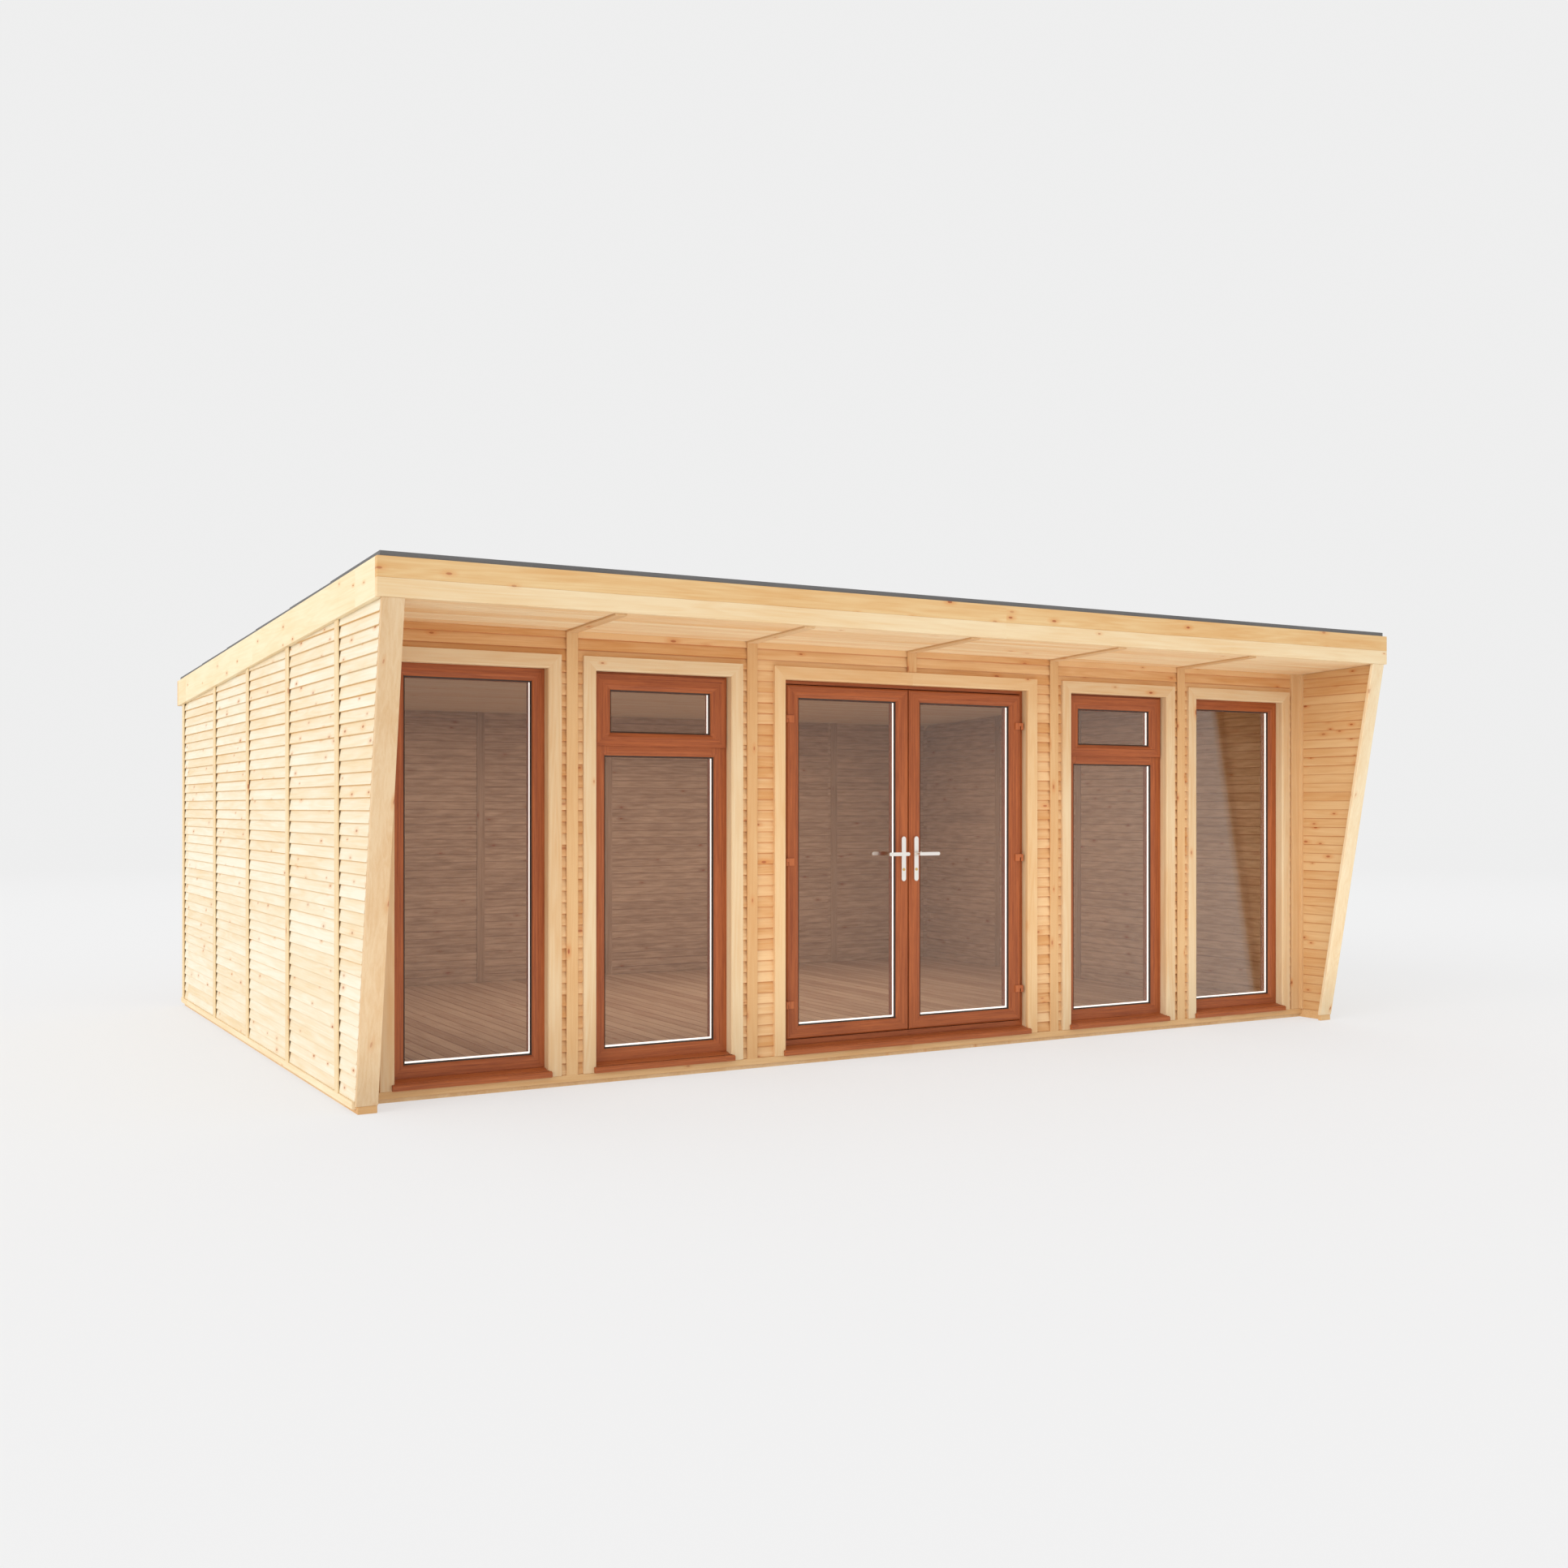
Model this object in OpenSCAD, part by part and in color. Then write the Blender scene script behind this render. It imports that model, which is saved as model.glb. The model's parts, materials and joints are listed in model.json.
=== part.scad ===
// Timber garden room with a shallow pent roof, a deep front canopy between two tapered wings,
// four tall windows and a pair of glazed doors that open outwards.
// Millimetres, +Z up, the front faces -Y, the origin is on the ground under the middle.

/* [Overall] */
// Width over the side fascias
building_w = 6420; // [6300:10:6900]
// Depth over the front and back fascias
building_d = 5100; // [4800:10:6000]
// Height of the fascia's top edge at the front
front_h = 2471; // [2455:1:2600]
// Drop of the roof from the front edge to the back edge
roof_fall = 187; // [80:1:200]

/* [Base] */
// Height of the floor's top, which the walls stand on
base_h = 56; // [50:1:70]
// Thickness of the floor boards
floor_t = 18; // [15:1:22]
// Width of a floor bearer
bearer_w = 70; // [45:1:100]
// Gaps between the floor bearers
bearer_bays = 8; // [6:1:10]
// Height of the base trim
trim_h = 34; // [24:1:45]
// Thickness of the base trim
trim_t = 20; // [16:1:24]

/* [Walls] */
// Thickness of a wall with its cladding and lining
wall_t = 112; // [100:1:130]
// From the front fascia's face to the front wall
canopy_d = 640; // [600:5:800]
// From the back wall to the back fascia's face
back_overhang = 120; // [80:5:160]

/* [Roof] */
// Thickness of a fascia board
fascia_t = 30; // [24:1:36]
// Height of the upper board of the front fascia
upper_fascia_h = 92; // [80:1:110]
// Height of the lower board of the front fascia
lower_fascia_h = 84; // [70:1:100]
// Thickness of the roof covering at its edge
covering_t = 25; // [12:1:30]
// From the fascia's face to the covering's edge
covering_inset = 18; // [12:1:26]
// Thickness of the roof boards
deck_t = 18; // [15:1:22]
// Thickness of the soffit and ceiling boards
lining_t = 12; // [9:1:16]
// Thickness of the cover strips under the soffit
soffit_strip_t = 10; // [6:1:14]
// Width of a rafter
rafter_w = 44; // [35:1:60]
// Gaps between the rafters
rafter_bays = 10; // [8:1:12]

/* [Wings] */
// Thickness of a wing
wing_t = 45; // [38:1:60]
// From the front fascia's face to the post's face, at the top
post_top_setback = 3; // [2:1:60]
// From the front fascia's face to the post's face, at the ground
post_foot_setback = 427; // [350:1:480]
// Width of the sloping board on a wing's front edge
post_w = 102; // [80:1:120]
// Thickness of that board, measured level
post_t = 22; // [18:1:28]
// How far that board stands out past the wing
post_lip = 8; // [2:1:12]
// Height of the small foot under a wing's front edge
foot_h = 35; // [25:1:45]
// Width of the small foot
foot_w = 90; // [60:1:95]

/* [Openings] */
// Width of the door opening
door_w = 1652; // [1500:2:1800]
// Wall left between the door opening and a window opening
pier_inner = 333; // [240:1:400]
// Wall left between two window openings
pier_outer = 257; // [210:1:320]
// Wall left between a window opening and a wing
pier_end = 182; // [166:1:240]
// From the fascia's top edge at the front down to the openings' heads
head_drop = 391; // [340:1:480]
// Height of a sill
sill_h = 43; // [36:1:60]
// How far a sill stands out past the casings
sill_nose = 17; // [10:1:25]
// How far a sill's ear reaches past the opening
sill_ear = 15; // [8:1:20]

/* [Casings and strips] */
// Width of a casing
casing_w = 70; // [50:1:74]
// Thickness of a casing
casing_t = 24; // [18:1:30]
// Width of a cover strip
strip_w = 62; // [40:1:68]
// Thickness of a cover strip
strip_t = 18; // [12:1:20]
// From the casing of a window to the front strip between it and the doors
strip_gap = 28; // [15:1:34]
// From the front wall's face to the middle of the first side strip
side_strip_first = 97; // [80:1:120]
// From one side strip to the next
side_strip_pitch = 1017; // [900:1:1040]
// From one back strip to the next
back_strip_pitch = 1059; // [900:1:1100]
// Thickness of the strips on the inner lining
inner_strip_t = 12; // [8:1:16]
// Width of the corner trim on the front wall
corner_w = 92; // [60:1:110]
// Width of the corner trim on the wing
corner_leg = 22; // [15:1:60]

/* [Window and door frames] */
// From the wall's face to the frame's face
frame_recess = 33; // [20:1:36]
// Depth of the frame
frame_d = 70; // [66:1:74]
// Width of the outer windows' frames
frame_w = 69; // [60:1:76]
// Width of the inner windows' frames beside the lower glass
lower_frame_w = 79; // [70:1:88]
// Height of the frame's lowest member
frame_low_h = 70; // [55:1:80]
// Thickness of a sealed glass unit
glass_t = 24; // [20:1:26]
// How deep the glass edge sits in its rebate
glass_bite = 12; // [8:1:14]
// Clearance round a glass unit's edge in its rebate
glass_play = 1; // [0.5:0.5:2]
// From the face of a frame or sash to its glass
glass_recess = 22; // [20:1:26]
// Underside of the bar over the lower glass, from the head
transom_drop = 432; // [400:1:450]
// Height of the strip of that bar that shows
transom_show = 56; // [40:1:64]
// Width of the fanlight sash's sides
sash_w = 94; // [80:1:100]
// Height of its top rail
sash_top_h = 86; // [76:1:94]
// Height of its lower rail
sash_low_h = 74; // [70:1:84]
// How far the fanlight sash lies on the frame round it
sash_lap = 48; // [40:1:50]
// How far the fanlight sash reaches past the back of its glass
sash_lip = 8; // [4:1:10]
// Inset of the fanlight sash from the frame's edge
sash_inset = 12; // [8:1:16]
// How far the fanlight sash stands out from the frame
sash_proud = 12; // [8:1:16]

/* [Doors] */
// Width of the frame that shows beside and over a leaf
door_margin = 20; // [16:1:28]
// Height of the threshold that shows under a leaf
threshold_h = 30; // [24:1:48]
// Clearance round a leaf
leaf_gap = 5; // [5:0.5:7]
// Half of the gap where the leaves meet
meeting_gap = 3; // [2.5:0.5:4]
// Thickness of a leaf
leaf_t = 70; // [60:1:72]
// How far a leaf stands out from the frame
leaf_proud = 19; // [12:1:24]
// Width of a leaf's stiles
stile_w = 88; // [76:1:100]
// Height of a leaf's rails
rail_h = 76; // [70:1:90]
// From the leaf's face to its glass
leaf_glass_recess = 22; // [16:1:26]
// Width of the moulding round the glass of doors and windows
mould_w = 29; // [18:1:34]
// Depth of the moulding's gentle part
mould_d = 6; // [3:1:10]
// Bevel round a leaf's outer face
face_bevel = 8; // [3:1:10]
// Bevel on the inner edge where the leaves meet
edge_bevel = 8; // [6:1:12]

/* [Hinges] */
// From a leaf's lower and upper end to the hinges there
hinge_inset = 186; // [120:1:260]
// Height of a hinge
hinge_h = 40; // [36:1:60]
// From the leaf's face to the hinge pin
hinge_out = 8; // [8:0.5:12]
// Radius of a hinge knuckle
knuckle_r = 8; // [7:0.5:8]
// Radius of a hinge pin
pin_r = 4; // [3:0.5:5]
// Running clearance round pins and handle necks
running_fit = 0.05; // [0.02:0.01:0.1]
// Width of the hinge flag on the leaf
leaf_flag_w = 46; // [38:1:60]
// Width of the hinge flag on the frame
frame_flag_w = 19; // [14:1:21]
// Thickness of a hinge flag
flag_t = 6; // [3:0.5:7]

/* [Handles] */
// From a leaf's lower end up to the handle's axis
handle_h = 994; // [900:1:1100]
// From the meeting edge to the handle's axis
handle_in = 40; // [32:1:48]
// Length of a handle plate
plate_h = 252; // [200:1:270]
// Width of a handle plate
plate_w = 29; // [26:1:34]
// Thickness of a handle plate
plate_t = 12; // [6:1:14]
// From the top of the plate to the handle's axis
plate_top = 98; // [60:1:120]
// Radius of the handle's neck
neck_r = 8; // [6:0.5:10]
// From the leaf's face to the lever's front
lever_out = 60; // [45:1:66]
// Length of the lever from its axis
lever_l = 130; // [100:1:150]
// Height of the lever's grip
lever_h = 20; // [16:1:22]
// Thickness of the lever's grip
lever_t = 12; // [8:1:14]
// Radius of the spindle through the leaf
spindle_r = 4; // [3:0.5:5]
// Radius of the hole for the spindle
spindle_hole_r = 10; // [9.5:0.5:12]
// From the handle's axis down to the lock
lock_drop = 88; // [70:1:110]
// Radius of the lock's face
lock_r = 8; // [6:0.5:10]

/* [Hidden] */
$fn = 48;
timber = "#e3c28c";
lit_timber = "#efdcae";
grey = "#6c6c6c";
oak = "#9c4f2c";
silver = "#d4d4d2";
clear = "#a9b7b8";
over = 1;                                              // how far a cut runs past a face
front_y = -building_d / 2;                             // faces, front to back
wall_y = front_y + canopy_d;
room_y = wall_y + wall_t;
back_y = building_d / 2 - back_overhang;
room_back_y = back_y - wall_t;
frame_y = wall_y + frame_recess;
wall_x = building_w / 2 - fascia_t;                    // outer face of a side wall
room_x = wall_x - wall_t;
fascia_h = upper_fascia_h + lower_fascia_h;
rafter_h = fascia_h - deck_t - lining_t;
slope = roof_fall / building_d;
head_h = front_h - head_drop;                          // heads of the openings
window_w = (wall_x - wing_t - door_w / 2 - pier_inner - pier_outer - pier_end) / 2;
inner_window_x = door_w / 2 + pier_inner + window_w / 2;
outer_window_x = inner_window_x + window_w + pier_outer;
strip_inner_x = inner_window_x - window_w / 2 - casing_w - strip_gap - strip_w / 2;
strip_outer_x = (inner_window_x + outer_window_x) / 2;
frame_z = base_h + sill_h;                             // underside of the window and door frames
bearer_h = base_h - floor_t;
leaf_y = frame_y - leaf_proud;                         // outer face of a closed leaf
leaf_x = door_w / 2 - door_margin - leaf_gap;          // hinge edge of a leaf
leaf_w = leaf_x - meeting_gap;
leaf_z = frame_z + threshold_h + leaf_gap;
leaf_h = head_h - door_margin - leaf_gap - leaf_z;
hinge_x = leaf_x + leaf_gap / 2;
hinge_y = leaf_y - hinge_out;
hinge_heights = [leaf_z + hinge_inset, leaf_z + leaf_h / 2, leaf_z + leaf_h - hinge_inset];
handle_x = meeting_gap + handle_in;
handle_z = leaf_z + handle_h;
rebate = glass_bite + glass_play;
sash_z = head_h - transom_drop + transom_show;
side_strip_y = wall_y + side_strip_first;
side_strip_count = round((back_y - side_strip_y) / side_strip_pitch);
joint_gap = 0.3;                                       // between like pieces that meet end to end
seam = 0.05;                                           // between pieces that meet on a slope
under_roof = fascia_h + seam;                          // drop of what stands up to the soffit

// Height of a plane parallel to the roof, drop below the fascia's top edge.
function roof_z(y, drop) = front_h - (y - front_y) * slope - drop;

// Level distance of a wing post's face behind the fascia's face at height z.
function post_y(z) = front_y + post_foot_setback
    - (post_foot_setback - post_top_setback) * z / roof_z(front_y, fascia_h);

// Extrudes an outline of [y, z] points along X, centred on x.
module along_x(length, x = 0)
    translate([x - length / 2, 0, 0])
        rotate([90, 0, 90])
            linear_extrude(length) children();

// A box from its low corner to its high corner.
module block(low, high) translate(low) cube(high - low);

// A layer of the roof between two drops, from y1 to y2.
module roof_layer(length, y1, y2, upper, lower, x = 0)
    along_x(length, x)
        polygon([[y1, roof_z(y1, lower)], [y2, roof_z(y2, lower)],
                 [y2, roof_z(y2, upper)], [y1, roof_z(y1, upper)]]);

// Draws the children and their mirror image.
module both_sides() {
    children();
    mirror([1, 0, 0]) children();
}

// A body with the same section on all four sides, in the XZ plane with its low corner at the origin.
// The edge lists [inward, y] points from the front to the back, past the side, low and high widths.
module surround(w, h, side, low, high, edge) {
    back = [for (i = [len(edge) - 1 : -1 : 0]) edge[i]];
    intersection() {
        translate([0, 0, -over]) linear_extrude(h + 2 * over)
            polygon(concat([for (p = edge) [side + p[0], p[1]]], [for (p = back) [w - side - p[0], p[1]]]));
        along_x(w + 2 * over, w / 2)
            polygon(concat([for (p = edge) [p[1], low + p[0]]], [for (p = back) [p[1], h - high - p[0]]]));
    }
}

// Base and floor
module base_bearers() color(timber) {
    step = (2 * wall_x - bearer_w) / bearer_bays;
    for (y = [wall_y, back_y - bearer_w])
        translate([-wall_x, y, 0]) cube([2 * wall_x, bearer_w, bearer_h]);
    for (i = [0 : bearer_bays])
        translate([-wall_x + i * step, wall_y + bearer_w + joint_gap, 0])
            cube([bearer_w, back_y - wall_y - 2 * (bearer_w + joint_gap), bearer_h]);
}

module floor_deck() color(timber)
    block([-wall_x, wall_y, bearer_h], [wall_x, back_y, base_h]);

module base_trim() color(lit_timber) {
    low = base_h - trim_h;
    front_end = wall_x - wing_t - joint_gap;
    block([-front_end, wall_y - trim_t, low], [front_end, wall_y, base_h]);
    block([-wall_x, back_y, low], [wall_x, back_y + trim_t, base_h]);
    both_sides()
        block([wall_x, post_y(foot_h) + post_t + joint_gap, low], [wall_x + trim_t, back_y + trim_t, base_h]);
}

module wing_soles() color(timber) both_sides() {
    front = post_y(foot_h) + post_t;
    block([wall_x - wing_t, front, 0], [wall_x, wall_y, base_h]);
    block([wall_x - foot_w, post_y(foot_h) + joint_gap, 0], [wall_x, front, foot_h]);
}

// Walls
module side_wall() along_x(wall_t, wall_x - wall_t / 2)
    polygon([[wall_y, base_h], [back_y, base_h],
             [back_y, roof_z(back_y, fascia_h - lining_t)], [wall_y, roof_z(wall_y, fascia_h - lining_t)]]);

module left_wall() color(lit_timber) mirror([1, 0, 0]) side_wall();

module right_wall() color(timber) side_wall();

module back_wall() color(timber) along_x(2 * room_x)
    polygon([[room_back_y, base_h], [back_y, base_h],
             [back_y, roof_z(back_y, fascia_h - lining_t)],
             [room_back_y, roof_z(room_back_y, fascia_h - lining_t)]]);

module front_slab(x1, x2, low) along_x(x2 - x1, (x1 + x2) / 2)
    polygon([[wall_y, low], [room_y, low],
             [room_y, roof_z(room_y, fascia_h - lining_t)], [wall_y, roof_z(wall_y, fascia_h - lining_t)]]);

module window_hole(x)
    block([x - window_w / 2, wall_y - over, base_h - over], [x + window_w / 2, room_y + over, head_h]);

module front_wall_right() color(timber) difference() {
    front_slab(door_w / 2, room_x, base_h);
    window_hole(inner_window_x);
    window_hole(outer_window_x);
}

module front_wall_left() mirror([1, 0, 0]) front_wall_right();

module front_wall_header() color(timber) front_slab(-door_w / 2, door_w / 2, head_h);

// Wings
module wing() color(timber) along_x(wing_t, wall_x - wing_t / 2) {
    top_y = post_y(roof_z(front_y + post_top_setback, fascia_h)) + post_t + seam;
    polygon([[post_y(base_h) + post_t + seam, base_h], [wall_y, base_h],
             [wall_y, roof_z(wall_y, under_roof)], [top_y, roof_z(top_y, under_roof)]]);
}

module left_wing() mirror([1, 0, 0]) wing();

module right_wing() wing();

module wing_post() color(lit_timber) along_x(post_w, wall_x + post_lip - post_w / 2) {
    top_y = post_y(roof_z(front_y + post_top_setback, fascia_h));
    polygon([[post_y(foot_h), foot_h], [post_y(foot_h) + post_t, foot_h],
             [top_y + post_t, roof_z(top_y + post_t, under_roof)], [top_y, roof_z(top_y, under_roof)]]);
}

module left_wing_post() mirror([1, 0, 0]) wing_post();

module right_wing_post() wing_post();

// Roof
module rafters() color(timber) {
    length = 2 * wall_x;
    step = (length - rafter_w) / rafter_bays;
    for (i = [0 : rafter_bays])
        roof_layer(rafter_w, front_y + fascia_t, -front_y - fascia_t, deck_t + seam, deck_t + rafter_h - seam,
                   x = -wall_x + rafter_w / 2 + i * step);
}

module roof_deck() color(timber)
    roof_layer(2 * wall_x, front_y + fascia_t, -front_y - fascia_t, 0, deck_t);

module roof_covering() color(grey)
    roof_layer(building_w - 2 * covering_inset, front_y + covering_inset, -front_y - covering_inset,
               -covering_t, -seam);

module soffit() color(timber) {
    roof_layer(2 * wall_x, front_y + fascia_t, wall_y, fascia_h - lining_t, fascia_h);
    roof_layer(2 * wall_x, back_y, -front_y - fascia_t, fascia_h - lining_t, fascia_h);
}

// Strips across the soffit's joints, from the fascia to the wall's strips.
module soffit_strips() color(timber)
    for (x = [-strip_outer_x, -strip_inner_x, 0, strip_inner_x, strip_outer_x])
        roof_layer(strip_w, front_y + fascia_t, wall_y - strip_t, under_roof, under_roof + soffit_strip_t, x);

module ceiling() color(timber)
    roof_layer(2 * room_x, room_y, room_back_y, fascia_h - lining_t, fascia_h);

module front_fascia_upper() color(timber)
    roof_layer(building_w, front_y, front_y + fascia_t, 0, upper_fascia_h);

module front_fascia_lower() color(lit_timber)
    roof_layer(building_w, front_y, front_y + fascia_t, upper_fascia_h, fascia_h);

module side_fascia() color(lit_timber)
    roof_layer(fascia_t, front_y + fascia_t, -front_y - fascia_t, 0, fascia_h, x = wall_x + fascia_t / 2);

module left_fascia() mirror([1, 0, 0]) side_fascia();

module right_fascia() side_fascia();

module back_fascia() color(timber)
    roof_layer(building_w, -front_y - fascia_t, -front_y, 0, fascia_h);

// Strips and casings
module front_strip(x, low) along_x(strip_w, x)
    polygon([[wall_y - strip_t, low], [wall_y, low],
             [wall_y, roof_z(wall_y, under_roof)], [wall_y - strip_t, roof_z(wall_y - strip_t, under_roof)]]);

module front_strips() color(timber) {
    both_sides() {
        front_strip(strip_inner_x, base_h);
        front_strip(strip_outer_x, base_h);
    }
    front_strip(0, head_h + casing_w);
}

// A strip on the outside of a side wall, from y1 to y2.
module side_strip(y1, y2) along_x(strip_t, wall_x + strip_t / 2)
    polygon([[y1, base_h], [y2, base_h], [y2, roof_z(y2, under_roof)], [y1, roof_z(y1, under_roof)]]);

module side_strips() color(lit_timber) both_sides() {
    for (i = [0 : side_strip_count - 1]) {
        y = side_strip_y + i * side_strip_pitch;
        side_strip(y - strip_w / 2, y + strip_w / 2);
    }
    side_strip(back_y - strip_w, back_y);
}

// A strip on the outside of the back wall.
module back_strip(x) along_x(strip_w, x)
    polygon([[back_y, base_h], [back_y + strip_t, base_h],
             [back_y + strip_t, roof_z(back_y + strip_t, under_roof)], [back_y, roof_z(back_y, under_roof)]]);

module back_strips() color(timber) {
    count = floor((wall_x - strip_w - strip_w / 2) / back_strip_pitch);
    for (i = [-count : count])
        back_strip(i * back_strip_pitch);
    both_sides() back_strip(wall_x - strip_w / 2);
}

module inner_strips() color(timber) {
    count = floor((room_x - strip_w) / back_strip_pitch);
    for (i = [-count : count])
        along_x(strip_w, i * back_strip_pitch)
            polygon([[room_back_y - inner_strip_t, base_h], [room_back_y, base_h],
                     [room_back_y, roof_z(room_back_y, under_roof)],
                     [room_back_y - inner_strip_t, roof_z(room_back_y - inner_strip_t, under_roof)]]);
    both_sides()
        for (i = [1 : side_strip_count - 1])
            along_x(inner_strip_t, room_x - inner_strip_t / 2) {
                y = side_strip_y + i * side_strip_pitch;
                polygon([[y - strip_w / 2, base_h], [y + strip_w / 2, base_h],
                         [y + strip_w / 2, roof_z(y + strip_w / 2, under_roof)],
                         [y - strip_w / 2, roof_z(y - strip_w / 2, under_roof)]]);
            }
}

module corner_trims() color(timber) both_sides() {
    edge = wall_x - wing_t;
    along_x(corner_w, edge - corner_w / 2)
        polygon([[wall_y - strip_t, base_h], [wall_y, base_h],
                 [wall_y, roof_z(wall_y, under_roof)], [wall_y - strip_t, roof_z(wall_y - strip_t, under_roof)]]);
    along_x(strip_t, edge - strip_t / 2)
        polygon([[wall_y - strip_t - corner_leg, base_h], [wall_y - strip_t, base_h],
                 [wall_y - strip_t, roof_z(wall_y - strip_t, under_roof)],
                 [wall_y - strip_t - corner_leg, roof_z(wall_y - strip_t - corner_leg, under_roof)]]);
}

// A casing round the sides and head of an opening, with a bevelled inner edge.
module casing(x, w) {
    h = head_h + casing_w - base_h;
    edge = casing_t / 4;
    translate([x - w / 2 - casing_w, wall_y - casing_t, base_h]) difference() {
        cube([w + 2 * casing_w, casing_t, h]);
        surround(w + 2 * casing_w, h, casing_w, -casing_w, casing_w,
                 [[-edge, -over], [-edge, 0], [0, edge], [0, casing_t + over]]);
    }
}

module window_casings() color(timber) both_sides()
    for (x = [inner_window_x, outer_window_x]) casing(x, window_w);

module door_casing() color(timber) casing(0, door_w);

// A sill with a sloping top, and ears in front of the casings.
module sill(x, w) {
    ear_y = wall_y - casing_t;
    nose_y = ear_y - sill_nose;
    fall = sill_h / 3;
    ear_fall = fall * (frame_y - ear_y) / (frame_y - nose_y - fall / 2);
    along_x(w, x)
        polygon([[nose_y, base_h], [frame_y + frame_d, base_h], [frame_y + frame_d, frame_z],
                 [frame_y, frame_z], [nose_y + fall / 2, frame_z - fall], [nose_y, frame_z - fall - fall / 2]]);
    along_x(w + 2 * sill_ear, x)
        polygon([[nose_y, base_h], [ear_y, base_h], [ear_y, frame_z - ear_fall],
                 [nose_y + fall / 2, frame_z - fall], [nose_y, frame_z - fall - fall / 2]]);
}

module window_sills() color(oak) both_sides()
    for (x = [inner_window_x, outer_window_x]) sill(x, window_w);

module door_sill() color(oak) sill(0, door_w);

// Sight edge of a frame from its face to its back, with a rebate that holds a glass unit.
function sight_edge(face, d, recess) = concat(face, [
    [0, recess], [-rebate, recess], [-rebate, recess + glass_t], [0, recess + glass_t], [0, d + over]
]);

// The moulding that slopes gently and then steeply to the glass, from a member's face.
function moulding(face) = [[-mould_w, face - over], [-mould_w, face], [-mould_w / 2, face + mould_d]];

// The opening of a fixed light with side beside it, whose head is high below the top of the frame.
module fixed_light(h, side, high)
    surround(window_w, h, side, frame_low_h, high, sight_edge(moulding(0), frame_d, glass_recess));

module window_frame(x) {
    h = head_h - frame_z;
    translate([x - window_w / 2, frame_y, frame_z]) difference() {
        cube([window_w, frame_d, h]);
        fixed_light(h, frame_w, frame_w);
    }
}

// A frame with a bar across it. A fanlight sash closes the light over the bar.
module fanlight_frame(x) {
    h = head_h - frame_z;
    side = sash_inset + sash_lap;
    translate([x - window_w / 2, frame_y, frame_z]) difference() {
        cube([window_w, frame_d, h]);
        fixed_light(h, lower_frame_w, transom_drop);
        block([side, -over, sash_z - frame_z + sash_lap], [window_w - side, frame_d + over, h - side]);
    }
}

module right_window_frames() color(oak) {
    fanlight_frame(inner_window_x);
    window_frame(outer_window_x);
}

module left_window_frames() mirror([1, 0, 0]) right_window_frames();

// The sash's flange lies on the frame, and its body stands in the frame's opening.
module fanlight_sashes() color(oak) both_sides() {
    w = window_w - 2 * sash_inset;
    h = head_h - sash_inset - sash_z;
    body = sash_lap + leaf_gap / 2;
    seat = glass_recess - sash_proud;
    depth = seat + glass_t + sash_lip;
    translate([inner_window_x - w / 2, frame_y, sash_z]) difference() {
        surround(w, h, 0, 0, 0, [[0, -sash_proud], [0, 0], [body, 0], [body, depth]]);
        surround(w, h, sash_w, sash_low_h, sash_top_h, sight_edge(moulding(-sash_proud), depth, seat));
    }
}

module window_glass() color(clear, 0.5) both_sides() {
    edge = frame_w - glass_bite;
    lower_edge = lower_frame_w - glass_bite;
    low = frame_z + frame_low_h - glass_bite;
    seat = frame_y + glass_recess;
    block([outer_window_x - window_w / 2 + edge, seat, low],
          [outer_window_x + window_w / 2 - edge, seat + glass_t, head_h - edge]);
    block([inner_window_x - window_w / 2 + lower_edge, seat, low],
          [inner_window_x + window_w / 2 - lower_edge, seat + glass_t, head_h - transom_drop + glass_bite]);
    sash_seat = frame_y + glass_recess - sash_proud;
    reach = window_w / 2 - sash_inset - sash_w + glass_bite;
    block([inner_window_x - reach, sash_seat, sash_z + sash_low_h - glass_bite],
          [inner_window_x + reach, sash_seat + glass_t, head_h - sash_inset - sash_top_h + glass_bite]);
}

// Doors
module door_frame() color(oak) {
    h = head_h - frame_z;
    stop = frame_w - door_margin;
    stop_y = leaf_t - leaf_proud + leaf_gap;
    translate([-door_w / 2, frame_y, frame_z]) difference() {
        cube([door_w, frame_d, h]);
        surround(door_w, h, door_margin, threshold_h, door_margin,
                 [[0, -over], [0, stop_y], [stop, stop_y], [stop, frame_d + over]]);
    }
}

module leaf() difference() {
    translate([meeting_gap, leaf_y, leaf_z]) difference() {
        surround(leaf_w, leaf_h, 0, 0, 0, [[face_bevel, 0], [0, face_bevel], [0, leaf_t]]);
        surround(leaf_w, leaf_h, stile_w, rail_h, rail_h, sight_edge(moulding(0), leaf_t, leaf_glass_recess));
    }
    translate([meeting_gap, leaf_y, leaf_z - over])
        linear_extrude(leaf_h + 2 * over)
            polygon([[-over, leaf_t / 4], [0, leaf_t / 4], [edge_bevel, leaf_t + over], [-over, leaf_t + over]]);
    translate([handle_x, leaf_y + leaf_t + over, handle_z])
        rotate([90, 0, 0]) cylinder(r = spindle_hole_r, h = leaf_t + 2 * over);
}

module right_leaf() color(oak) leaf();

module left_leaf() mirror([1, 0, 0]) right_leaf();

module leaf_glass() color(clear, 0.5) {
    side = stile_w - glass_bite;
    low = leaf_z + rail_h - glass_bite;
    high = leaf_z + leaf_h - rail_h + glass_bite;
    seat = leaf_y + leaf_glass_recess;
    block([meeting_gap + side, seat, low], [leaf_x - side, seat + glass_t, high]);
}

module right_leaf_glass() leaf_glass();

module left_leaf_glass() mirror([1, 0, 0]) leaf_glass();

// Outline of a flag and its knuckle, as [sideways from the pin, out from the face]. The pin is out
// from the face, and the web stands next to the pin.
module knuckle_flag(w, out, web) {
    polygon([[web, 0], [w, 0], [w, flag_t], [knuckle_r + leaf_gap, flag_t], [knuckle_r, out],
             [0, out + knuckle_r / 2], [0, out], [web, out - knuckle_r / 2]]);
    translate([0, out]) circle(r = knuckle_r);
}

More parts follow.
